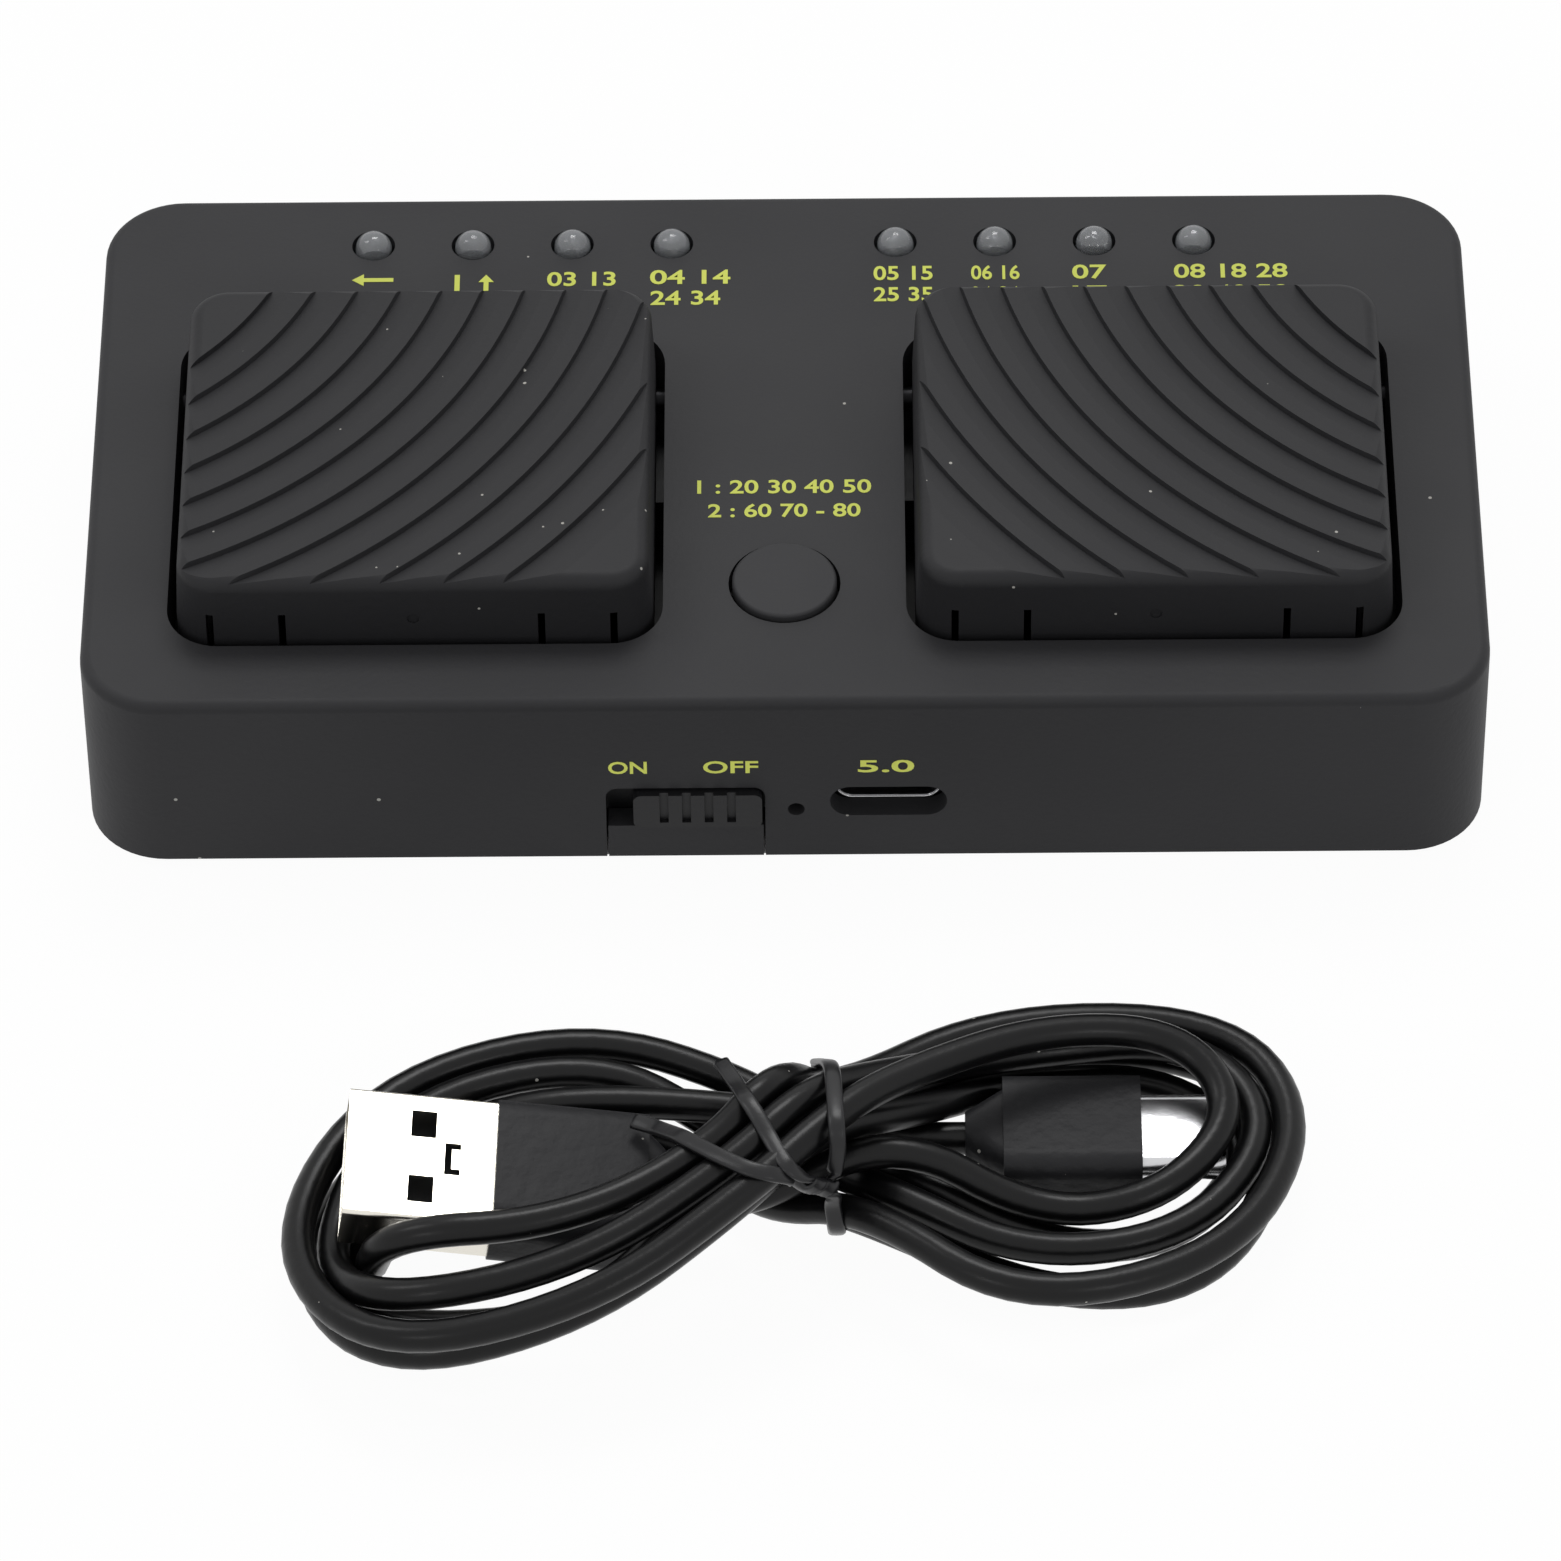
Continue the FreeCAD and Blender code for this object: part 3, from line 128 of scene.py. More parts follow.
cable = {
    "thickness": 2.65,
    "length": 1.025,
    "resolution": 8,
    "roundness": 6,
    "turns": 5,
    "plugA": (-5.6, -71.39, 4.6),
    "plugATurn": (-0.82, 8.0),
    "plugC": (11.54, -64.21, 3.83),
    "lead": ((-1.97, -72.03, 5.89), (8.6, -68.78, 9.54)),
    "tail": ((2.73, -63.1, 5.47), (9.05, -63.91, 3.76)),
    "waist": (1.0, -68.04),
    "reach": (37.28, 37.32),
    "swell": (11.46, 12.13),
    "drop": (3.75, -7.77),
    "belly": -0.643,
    "shoulder": -0.191,
    "middleTurn": 2.65,
    "steps": (2.947, 2.227, 1.305, 1.61, 1.501, 1.448, 1.139, 2.169),
    "lowerCrossing": (2.76, 1.71),
    "upperCrossing": (13.5, 10.55),
    "turnLift": 3.63,
    "leftRise": (5.34, 5.6),
    "firstTop": 10.74,
    "firstEnd": 6.91,
    "halfwayLift": {3.5: 0.28, 4.5: 1.0, 7.5: -0.07, 0.5: 2.4},
    "shifts": {
        (2, 4.5): (0.2, 0.36, -0.21),
        (2, 5): (0.11, 0.86, 0.47),
        (2, 5.5): (-0.08, 0.8, 1.23),
        (2, 6): (0.57, 0.17, -1.33),
        (2, 6.5): (-0.42, 0.02, 0.41),
        (2, 7): (0.72, 0.68, 0.75),
        (3, 4.5): (1.06, 1.57, -0.24),
        (3, 5): (1.72, -0.23, -1.65),
        (3, 5.5): (0.08, 1.98, -1.74),
        (3, 6): (0.66, -0.56, -0.97),
        (3, 6.5): (-1.05, -0.35, -1.06),
        (3, 7): (0.93, -0.77, 0.82),
        (4, 4.5): (0.21, 0.31, -0.9),
        (4, 5): (0.19, 1.6, 1.42),
        (4, 5.5): (-0.77, 2.77, 3.25),
        (4, 6): (1.64, -0.55, -1.89),
        (4, 6.5): (-0.22, -0.02, -1.34),
        (4, 7): (-1.28, 0.75, 1.65),
        (1, 0.5): (-0.24, 1.53, 0.31),
        (1, 1): (0.74, 1.05, 0.95),
        (1, 1.5): (-0.26, 0.61, -0.45),
        (1, 2.5): (-1.09, 0.39, -0.66),
        (1, 3): (-1.31, 0.77, -0.06),
        (1, 3.5): (0.97, -0.73, 0.98),
        (3, 0.5): (-0.02, 1.26, -0.13),
        (3, 1): (1.55, 0.89, -0.46),
        (3, 1.5): (0.27, -0.65, 0.19),
        (3, 2.5): (1.45, 0.02, -0.32),
        (3, 3): (0.04, 1.13, -0.35),
        (3, 3.5): (0.65, -1.59, 0.5),
        (4, 0.5): (0.95, 1.83, 0.41),
        (4, 1): (0.0, -1.82, 2.05),
        (4, 1.5): (0.31, -0.47, 1.08),
        (4, 2.5): (1.41, -0.75, -0.2),
        (4, 3): (-0.83, 1.41, -1.4),
        (4, 3.5): (-1.6, 0.24, -4.24),
    },
}


def between(pair, c):
    right, left = pair
    return (right + left) / 2 + (right - left) / 2 * c


def hankFigure(t):
    # x = waist + reach cos t (1 + belly sin^2 t)
    # y = waist + swell (sin 2t - shoulder sin 4t) + drop cos^2 t
    c = np.cos(t)
    x = cable["waist"][0] + between(cable["reach"], c) * c * (1 + cable["belly"] * (1 - c * c))
    wave = np.sin(2 * t) - cable["shoulder"] * np.sin(4 * t)
    y = cable["waist"][1] + between(cable["swell"], c) * wave + between(cable["drop"], c) * c * c
    return np.stack([x, y], -1)


def hankStep(t):
    # the step from turn to turn, eased between the eighths of the figure
    eighth = (t + math.pi / 2) / (math.pi / 4)
    i = np.floor(eighth).astype(int)
    f = eighth - i
    ease = f * f * (3 - 2 * f)
    steps = np.array(cable["steps"])
    return steps[i % 8] * (1 - ease) + steps[(i + 1) % 8] * ease


def hankPlan(t):
    # figure + outward normal * step * turns from the middle one
    small = 1e-4
    ahead = unit(hankFigure(t + small) - hankFigure(t - small))
    outward = np.stack([ahead[:, 1], -ahead[:, 0]], -1)
    away = hankStep(t) * (t / (2 * math.pi) - cable["middleTurn"])
    return hankFigure(t) + outward * away[:, None]


def hankHeight(turn, eighth):
    odd = turn % 2
    if eighth == 0:
        return cable["lowerCrossing"][odd]
    if eighth == 4:
        return cable["upperCrossing"][odd]
    if turn == 0 and eighth == 3:
        return cable["firstTop"]
    if turn == 0 and eighth == 2:
        return cable["firstEnd"]
    height = cable["thickness"] / 2 + (0 if odd else cable["turnLift"])
    return height + (cable["leftRise"][odd] if eighth == 5 else 0)


def plugAxis(yaw, pitch):
    # the way a plug lies, from its turn about Z and its tilt about Y
    level = math.cos(math.radians(pitch))
    yaw = math.radians(yaw)
    return np.array([math.cos(yaw) * level, math.sin(yaw) * level, -math.sin(math.radians(pitch))])


def cableRoute():
    # the points from plug to plug: lead, winding with two per eighth, and tail; turn 0 starts at place -2
    first, last = -1, 8 * (cable["turns"] - 1) + 5
    stations = np.arange(first, last + 1)
    heights = np.array([hankHeight((j + 2) // 8, (j + 2) % 8) for j in stations])
    places = np.arange(first, last + 0.25, 0.5)
    plan = hankPlan(places * math.pi / 4)
    rise = np.interp(places, stations, heights)
    for half, lift in cable["halfwayLift"].items():
        rise[np.isclose((places + 2) % 8, half)] += lift
    winding = np.column_stack([plan, rise])
    for (turn, eighth), shift in cable["shifts"].items():
        winding[round(2 * (8 * turn + eighth - 2 - first))] += shift
    alongA = plugAxis(*cable["plugATurn"])
    endA = np.array(cable["plugA"])
    endC = np.array(cable["plugC"])
    d = cable["thickness"]
    lead = [endA - alongA * d, endA] + [np.array(p) for p in cable["lead"]]
    tail = [np.array(p) for p in cable["tail"]] + [endC, endC + [d, 0, 0]]
    # the winding stands out by what a quadratic spline cuts in, and nothing goes below the floor
    points = np.vstack([lead, winding, tail])
    n = len(lead)
    out = points.copy()
    out[n:-n] += (2 * points[n:-n] - points[n - 1:-n - 1] - points[n + 1:-n + 1]) / 8
    out[:, 2] = np.maximum(out[:, 2], d / 2)
    return out * mm


def makeCable():
    points = cableRoute()
    curve = bpy.data.curves.new("charging_cable_cord", "CURVE")
    curve.dimensions = "3D"
    spline = curve.splines.new("NURBS")
    spline.points.add(len(points) - 1)
    spline.points.foreach_set("co", np.column_stack([points, np.ones(len(points))]).ravel())
    spline.points.foreach_set("radius", np.full(len(points), mm))  # Blender adds it to the cord's bounds
    spline.order_u = 3
    spline.use_endpoint_u = True
    spline.resolution_u = cable["resolution"]
    curve.bevel_depth = cable["thickness"] / 2
    curve.bevel_resolution = cable["roundness"]
    curve.use_fill_caps = True
    cord = bpy.data.objects.new("charging_cable_cord", curve)
    scene.collection.objects.link(cord)
    return cord, points


cableCord, cablePoints = makeCable()
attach(cableCord, "root")
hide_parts("charging_cable")
print("cable made")


# Shader groups that several finishes share

def newGroup(name, inputs, outputs):
    group = bpy.data.node_groups.new(name, "ShaderNodeTree")
    for label, value in inputs:
        socket = group.interface.new_socket(label, in_out="INPUT", socket_type="NodeSocketFloat")
        socket.default_value = value
    for label in outputs:
        group.interface.new_socket(label, in_out="OUTPUT", socket_type="NodeSocketFloat")
    return group, group.nodes.new("NodeGroupInput"), group.nodes.new("NodeGroupOutput")


def mathNode(nodes, links, operation, *values):
    # a number goes into its input, and a socket is linked to it
    node = nodes.new("ShaderNodeMath")
    node.operation = operation
    for i, value in enumerate(values):
        if isinstance(value, (int, float)):
            node.inputs[i].default_value = value
        else:
            links.new(value, node.inputs[i])
    return node.outputs[0]


def makeGrainGroup():
    # fine noise for the moulded texture, and a slow one for how evenly it is worn
    inputs = [("Scale", 2500), ("Slow Scale", 60)]
    group, given, out = newGroup("mouldedGrain", inputs, ["Height", "Shade"])
    nodes, links = group.nodes, group.links
    place = nodes.new("ShaderNodeTexCoord")
    fine = nodes.new("ShaderNodeTexNoise")
    fine.inputs["Detail"].default_value = 3
    slow = nodes.new("ShaderNodeTexNoise")
    slow.inputs["Detail"].default_value = 4
    links.new(place.outputs["Object"], fine.inputs["Vector"])
    links.new(place.outputs["Object"], slow.inputs["Vector"])
    links.new(given.outputs["Scale"], fine.inputs["Scale"])
    links.new(given.outputs["Slow Scale"], slow.inputs["Scale"])
    links.new(fine.outputs["Fac"], out.inputs["Height"])
    links.new(slow.outputs["Fac"], out.inputs["Shade"])
    return group


def makeDustGroup():
    # small round specks: the middle of a few Voronoi cells, chosen by their random colour
    inputs = [("Scale", 600), ("Amount", 0.1), ("Size", 0.1)]
    group, given, out = newGroup("dustSpecks", inputs, ["Mask"])
    nodes, links = group.nodes, group.links
    place = nodes.new("ShaderNodeTexCoord")
    cells = nodes.new("ShaderNodeTexVoronoi")
    parts = nodes.new("ShaderNodeSeparateColor")
    links.new(place.outputs["Object"], cells.inputs["Vector"])
    links.new(given.outputs["Scale"], cells.inputs["Scale"])
    links.new(cells.outputs["Color"], parts.inputs["Color"])
    chosen = mathNode(nodes, links, "LESS_THAN", parts.outputs["Red"], given.outputs["Amount"])
    size = mathNode(nodes, links, "MULTIPLY", parts.outputs["Green"], given.outputs["Size"])
    close = mathNode(nodes, links, "LESS_THAN", cells.outputs["Distance"], size)
    links.new(mathNode(nodes, links, "MULTIPLY", chosen, close), out.inputs["Mask"])
    return group


grainGroup = makeGrainGroup()
dustGroup = makeDustGroup()


def linearOf(shade):
    # an 8-bit screen colour as a linear one
    parts = [c / 255 for c in shade]
    return [c / 12.92 if c < 0.04045 else ((c + 0.055) / 1.055) ** 2.4 for c in parts] + [1]


# Finishes: shade is the screen colour, grain the bump's depth in millimetres and scale how fine it is,
# worn how far the shade strays to both sides, and dust the share of the cells that hold a speck.

finishes = {
    "case": dict(shade=(44, 44, 46), rough=0.6, spec=0.25, grain=0.03, scale=1800, dust=0.06, worn=0.03),
    "pedal": dict(shade=(37, 37, 39), rough=0.55, spec=0.22, grain=0.03, scale=1600, dust=0.25, worn=0.04),
    "button": dict(shade=(51, 51, 53), rough=0.65, spec=0.27, grain=0.02, scale=1800, dust=0.03, worn=0.02),
    "slider": dict(shade=(25, 25, 27), rough=0.5, spec=0.3, grain=0.02, scale=1800, dust=0.2, worn=0.06),
    "foot": dict(shade=(28, 28, 28), rough=0.8, spec=0.3, grain=0.05, scale=1500, dust=0.05, worn=0.1),
    "steel": dict(shade=(190, 190, 192), rough=0.28, metal=1.0, grain=0.02, scale=900, worn=0.1),
    "pin": dict(shade=(42, 42, 44), rough=0.4, metal=0.8, grain=0.02, scale=900, worn=0.15),
    "board": dict(shade=(20, 21, 21), rough=0.4, spec=0.4, grain=0.02, scale=700, worn=0.2),
    "switch": dict(shade=(34, 34, 36), rough=0.5, spec=0.4, grain=0.03, scale=1800, worn=0.1),
    "plunger": dict(shade=(38, 38, 40), rough=0.5, spec=0.4, grain=0.02, scale=1500, worn=0.08),
    "sleeve": dict(shade=(36, 36, 37), rough=0.5, spec=0.4, grain=0.02, scale=1500, worn=0.08),
    "metal_shell": dict(shade=(206, 206, 208), rough=0.22, metal=1.0, grain=0.015, scale=900, worn=0.05),
    "chip": dict(shade=(30, 30, 31), rough=0.45, spec=0.4, grain=0.03, scale=2200, worn=0.05),
    "cell": dict(shade=(32, 32, 34), rough=0.4, spec=0.4, grain=0.05, scale=500, worn=0.1),
    "tape": dict(shade=(36, 36, 36), rough=0.8, spec=0.3, grain=0.1, scale=1200, worn=0.1),
    "wire": dict(shade=(150, 26, 22), rough=0.45, spec=0.4, grain=0.02, scale=1500, worn=0.05),
    "socket_insert": dict(shade=(30, 30, 31), rough=0.45, spec=0.4, grain=0.02, scale=1500, worn=0.05),
    "cord": dict(shade=(9, 9, 10), rough=0.32, spec=0.24, grain=0.02, scale=1400, dust=0.2, worn=0.1),
    "plug": dict(shade=(34, 34, 36), rough=0.5, spec=0.2, grain=0.12, scale=700, dust=0.3, worn=0.06),
    "gold": dict(shade=(232, 228, 218), rough=0.24, metal=1.0, grain=0.01, scale=900, worn=0.03),
    "tie": dict(shade=(24, 24, 26), rough=0.34, spec=0.35, grain=0.02, scale=1500, worn=0.06),
    # the front's print is the top's ink in a lighter colour: the difference is painted light on the print
    "brightInk": dict(shade=(246, 255, 122), rough=0.6, spec=0.3, grain=0.02, scale=2500, worn=0.01),
    "ink": dict(shade=(214, 222, 100), rough=0.6, spec=0.3, grain=0.02, scale=2500, worn=0.03),
    "lamp": dict(shade=(205, 208, 212), rough=0.12, grain=0.004, scale=600, worn=0.04, clear=0.75, ior=1.5),
}
dustShade = (178, 176, 170)
roughSpread = 0.16


def makeFinish(name, look):
    material = bpy.data.materials.new(name + "_finish")
    material.use_nodes = True
    nodes, links = material.node_tree.nodes, material.node_tree.links
    shader = nodes["Principled BSDF"]
    shader.inputs["Metallic"].default_value = look.get("metal", 0.0)
    shader.inputs["Specular IOR Level"].default_value = look.get("spec", 0.5)
    if "clear" in look:
        shader.inputs["Transmission Weight"].default_value = look["clear"]
        shader.inputs["IOR"].default_value = look["ior"]
    grain = nodes.new("ShaderNodeGroup")
    grain.node_tree = grainGroup
    grain.inputs["Scale"].default_value = look["scale"]
    darker = [c * (1 - look["worn"]) for c in look["shade"]]
    lighter = [min(255, c * (1 + look["worn"])) for c in look["shade"]]
    colour = nodes.new("ShaderNodeMix")
    colour.data_type = "RGBA"
    colour.inputs["A"].default_value = linearOf(darker)
    colour.inputs["B"].default_value = linearOf(lighter)
    links.new(grain.outputs["Shade"], colour.inputs["Factor"])
    shown = colour.outputs["Result"]
    if "dust" in look:
        dust = nodes.new("ShaderNodeGroup")
        dust.node_tree = dustGroup
        dust.inputs["Amount"].default_value = look["dust"]
        over = nodes.new("ShaderNodeMix")
        over.data_type = "RGBA"
        over.inputs["B"].default_value = linearOf(dustShade)
        links.new(dust.outputs["Mask"], over.inputs["Factor"])
        links.new(shown, over.inputs["A"])
        shown = over.outputs["Result"]
    links.new(shown, shader.inputs["Base Color"])
    least = look["rough"] - roughSpread / 2
    rough = mathNode(nodes, links, "MULTIPLY_ADD", grain.outputs["Shade"], roughSpread, least)
    links.new(rough, shader.inputs["Roughness"])
    bump = nodes.new("ShaderNodeBump")
    bump.inputs["Strength"].default_value = 1.0
    bump.inputs["Distance"].default_value = look["grain"] * mm
    links.new(grain.outputs["Height"], bump.inputs["Height"])
    links.new(bump.outputs["Normal"], shader.inputs["Normal"])
    return material


materials = {name: makeFinish(name, look) for name, look in finishes.items()}
slotOf = {part["node"]: part["material_slot"] for part in frame["record"]["subparts"]}
for name, node in frame["nodes"].items():
    finish = materials[slotOf[name]]
    if not node.material_slots:
        node.data.materials.append(finish)
    for slot in node.material_slots:
        slot.material = finish
cableCord.data.materials.append(materials["cord"])
print("finishes made")


# Pieces that are drawn here: meshes in millimetres, with what they ride on and their slot


def meshPiece(name, points, faces, finish, body="root", smooth=False):
    mesh = bpy.data.meshes.new(name)
    mesh.from_pydata([tuple(p) for p in points * mm], [], faces)
    mesh.update()
    piece = bpy.data.objects.new(name, mesh)
    scene.collection.objects.link(piece)
    mesh.materials.append(materials[finish])
    if smooth:
        mesh.polygons.foreach_set("use_smooth", np.ones(len(mesh.polygons), dtype=bool))
    if body:
        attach(piece, body)
    return piece


def joined(shapes):
    points, faces, count = [], [], 0
    for co, polygons in shapes:
        points.append(co)
        faces += [tuple(i + count for i in polygon) for polygon in polygons]
        count += len(co)
    return np.vstack(points), faces


# Lettering and signs printed on the case: plain numbers and arrows, ON and OFF

case = {"top": 18.7, "front": -30.05}
ink = {"raise": 0.02, "thick": 0.03, "bolder": 0.018}

# text, x, y, width and height of the labels on the top
topLabels = [
    ("03 13", -17.1, 20.2, 5.8, 1.75),
    ("04 14", -7.9, 20.35, 6.8, 1.75),
    ("24 34", -8.3, 17.79, 5.9, 1.75),
    ("05 15", 10.1, 20.65, 5.0, 1.75),
    ("25 35", 10.1, 18.05, 5.0, 1.75),
    ("06 16", 17.9, 20.65, 4.1, 1.75),
    ("26 36", 17.9, 18.05, 4.1, 1.75),
    ("07", 25.85, 20.65, 2.9, 1.75),
    ("17", 25.85, 18.05, 2.9, 1.75),
    ("08 18 28", 37.8, 20.65, 9.6, 1.75),
    ("38 48 58", 37.8, 18.05, 9.6, 1.75),
    ("1 : 20 30 40 50", 0.0, -5.05, 14.4, 1.6),
    ("2 : 60 70 - 80", 0.0, -7.85, 12.6, 1.6),
]
# text, x, z, width and height of the labels on the front
frontLabels = [
    ("ON", -12.9, 11.25, 3.17, 1.42),
    ("OFF", -4.48, 11.25, 4.5, 1.42),
    ("5.0", 8.2, 11.25, 4.6, 1.42),
]
# length, head, stroke, whether it points up, x and y of the arrows on the top
arrows = [
    (3.5, 1.0, 0.46, False, -34.75, 20.25),
    (2.4, 0.9, 0.42, True, -25.15, 19.6),
]
arrowBarb = 0.72
bar = {"x": -27.6, "y": 19.7, "width": 0.44, "height": 2.2}


def letterMesh(text, width, height):
    # flat letters as a mesh, as wide and as tall as asked, centred on 0, 0
    curve = bpy.data.curves.new("letters", "FONT")
    curve.body = text
    curve.align_x = "CENTER"
    curve.align_y = "CENTER"
    curve.extrude = 0.5
    curve.resolution_u = 4
    curve.offset = ink["bolder"]
    helper = bpy.data.objects.new("letters", curve)
    scene.collection.objects.link(helper)
    bpy.context.view_layer.update()
    drawn = helper.evaluated_get(bpy.context.evaluated_depsgraph_get())
    made = bpy.data.meshes.new_from_object(drawn)
    bpy.data.objects.remove(helper)
    co = np.empty(len(made.vertices) * 3)
    made.vertices.foreach_get("co", co)
    co = co.reshape(-1, 3)
    low, high = co.min(0), co.max(0)
    co = (co - (low + high) / 2) / (high - low)
    co *= [width, height, ink["thick"]]
    faces = [tuple(face.vertices) for face in made.polygons]
    bpy.data.meshes.remove(made)
    return co, faces


def prism(outline):
    # a flat sign from its anticlockwise outline
    n = len(outline)
    low = np.column_stack([outline, np.full(n, -ink["thick"] / 2)])
    high = np.column_stack([outline, np.full(n, ink["thick"] / 2)])
    faces = [tuple(range(n))[::-1], tuple(range(n, 2 * n))]
    faces += [(i, (i + 1) % n, (i + 1) % n + n, i + n) for i in range(n)]
    return np.vstack([low, high]), faces


def arrowShape(length, head, stroke, upward):
    tip, tail = -length / 2, length / 2
    neck, barb = tip + head, head * arrowBarb
    side = [(tip, 0), (neck, barb), (neck, stroke / 2), (tail, stroke / 2)]
    outline = np.array(side + [(x, -y) for x, y in side[:0:-1]])
    if upward:
        return prism(np.column_stack([-outline[:, 1], -outline[:, 0]]))
    return prism(outline[::-1])


def barShape():
    x, y = bar["width"] / 2, bar["height"] / 2
    return prism(np.array([(-x, -y), (x, -y), (x, y), (-x, y)]))


def makeTopLettering():
    z = case["top"] + ink["raise"]
    shapes = []
    for text, x, y, width, height in topLabels:
        co, faces = letterMesh(text, width, height)
        shapes.append((co + [x, y, z], faces))
    for length, head, stroke, upward, x, y in arrows:
        co, faces = arrowShape(length, head, stroke, upward)
        shapes.append((co + [x, y, z], faces))
    co, faces = barShape()
    shapes.append((co + [bar["x"], bar["y"], z], faces))
    meshPiece("top_lettering", *joined(shapes), "ink")


def makeFrontLettering():
    y = case["front"] - ink["raise"]
    shapes = []
    for text, x, z, width, height in frontLabels:
        co, faces = letterMesh(text, width, height)
        shapes.append((np.column_stack([co[:, 0] + x, y - co[:, 2], co[:, 1] + z]), faces))
    # the front's print takes the lighter ink, whose colour holds painted light
    meshPiece("front_lettering", *joined(shapes), "brightInk")


makeTopLettering()
makeFrontLettering()
print("lettering made")


# Bright rim of the charging socket

rim = {
    "centre": (8.4, -28.08, 7.13),
    "straight": 2.84,
    "radius": 1.48,
    "wire": 0.1,
    "steps": 64,
    "sides": 12,
}


def rimMesh():
    # a circle pulled apart by the straight to a stadium, with the wire's section round each of its points
    turn = np.linspace(0, 2 * math.pi, rim["steps"], endpoint=False)
    out = np.column_stack([np.cos(turn), np.zeros(rim["steps"]), np.sin(turn)])
    middle = out * rim["radius"] + rim["centre"]
    middle[:, 0] += rim["straight"] * np.where(np.cos(turn) > 0, 1, -1)
    bend = np.linspace(0, 2 * math.pi, rim["sides"], endpoint=False)[None, :, None]
    section = out[:, None] * np.cos(bend) + np.array([0, 1.0, 0]) * np.sin(bend)
    points = middle[:, None] + section * rim["wire"]
    return points.reshape(-1, 3), tubeFaces(rim["steps"], rim["sides"], closed=True)


meshPiece("socket_rim", *rimMesh(), "metal_shell", smooth=True)
print("socket rim made")


# Return springs: each is drawn in its node's own box

spring = {"wire": 0.8, "turns": 5, "stepsPerTurn": 40, "sides": 12}


def springMesh(low, high):
    # a helix: centre + radius (cos a, sin a), rising evenly with a, with the wire's circle round it
    half = spring["wire"] / 2
    steps, sides = spring["turns"] * spring["stepsPerTurn"] + 1, spring["sides"]
    turn = np.linspace(0, 2 * math.pi * spring["turns"], steps)
    radius = (high[0] - low[0]) / 2 - half
    out = np.column_stack([np.cos(turn), np.sin(turn), np.zeros(steps)])
    centre = out * radius + (low + high) / 2
    centre[:, 2] = np.linspace(low[2] + half, high[2] - half, steps)
    over = np.cross(unit(np.gradient(centre, axis=0)), out)
    bend = np.linspace(0, 2 * math.pi, sides, endpoint=False)[None, :, None]
    points = centre[:, None] + half * (out[:, None] * np.cos(bend) + over[:, None] * np.sin(bend))
    return points.reshape(-1, 3), tubeFaces(steps, sides)


def makeSprings():
    for side in ("left", "right"):
        node = side + "_return_spring"
        low, high = (np.array(corner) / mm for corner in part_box(node))
        name = side + "_spring_coil"
        coil = meshPiece(name, *springMesh(low, high), slotOf[node], body=None, smooth=True)
        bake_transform(coil)
        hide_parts(node)


makeSprings()
print("springs made")


# Twist tie: one flat ribbon that goes round the waist, is twisted in front of it and ends in two tails.
# The cord within reach of x counts as the waist; sideways is how far the loop strays from x on its way.

tie = {
    "width": 1.35,
    "thickness": 0.6,
    "roundness": (0.6, 0.8),
    "sides": 16,
    "step": 0.35,
    "smoothing": (5, 10),
    "x": 3.3,
    "reach": 1.3,
    "standOff": 0.03,
    "outlineSides": 40,
    "loopSteps": 90,
    "loopEnds": 3,
    "knotHeight": 9.8,
    "sideways": {
        0.0: 0.2,
        0.07: 0.75,
        0.25: 0.3,
        0.42: -0.8,
        0.6: -0.5,
        0.8: 0.5,
        0.9: 0.7,
        1.0: 0.0,
    },
    "twist": ((0.1, -0.5, 0.2), (-2.2, -1.9, 2.6)),
    "twistRadius": 0.55,
    "twistTurns": 1.25,
    "twistPhase": 0.3,
    "twistSteps": 14,
    "tailFacing": (0, -0.35, 0.94),
    "tailBack": (
        (0.12, -76.52, 14.25),
        (-1.29, -73.5, 14.4),
        (-2.38, -71.39, 15.0),
        (-3.16, -69.94, 15.15),
        (-3.96, -67.12, 13.8),
        (-4.6, -65.67, 13.5),
        (-5.16, -64.06, 12.9),
    ),
    "tailLeft": (
        (0.65, -76.37, 12.9),
        (-1.05, -77.27, 14.4),
        (-3.0, -76.99, 14.7),
        (-5.59, -75.13, 14.4),
        (-8.27, -72.42, 13.5),
        (-10.39, -68.89, 10.65),
        (-12.3, -67.73, 10.2),
    ),
}


def cordPlaces(points):
    # points along the quadratic spline that the cord's control points make
    t = np.linspace(0, 1, cable["resolution"], endpoint=False)[None, :, None]
    a, b, c = points[:-2, None], points[1:-1, None], points[2:, None]
    return (0.5 * (1 - t) ** 2 * a + (0.5 + t - t * t) * b + 0.5 * t * t * c).reshape(-1, 3)


def turnOf(a, b, c):
    return (b[0] - a[0]) * (c[1] - a[1]) - (b[1] - a[1]) * (c[0] - a[0])


def hullOf(points):
    # the convex outline of flat points, anticlockwise
    points = sorted(map(tuple, points))
    sides = []
    for order in (points, points[::-1]):
        chain = []
        for p in order:
            while len(chain) > 1 and turnOf(chain[-2], chain[-1], p) <= 0:
                chain.pop()
            chain.append(p)
        sides.append(chain[:-1])
    return np.array(sides[0] + sides[1])


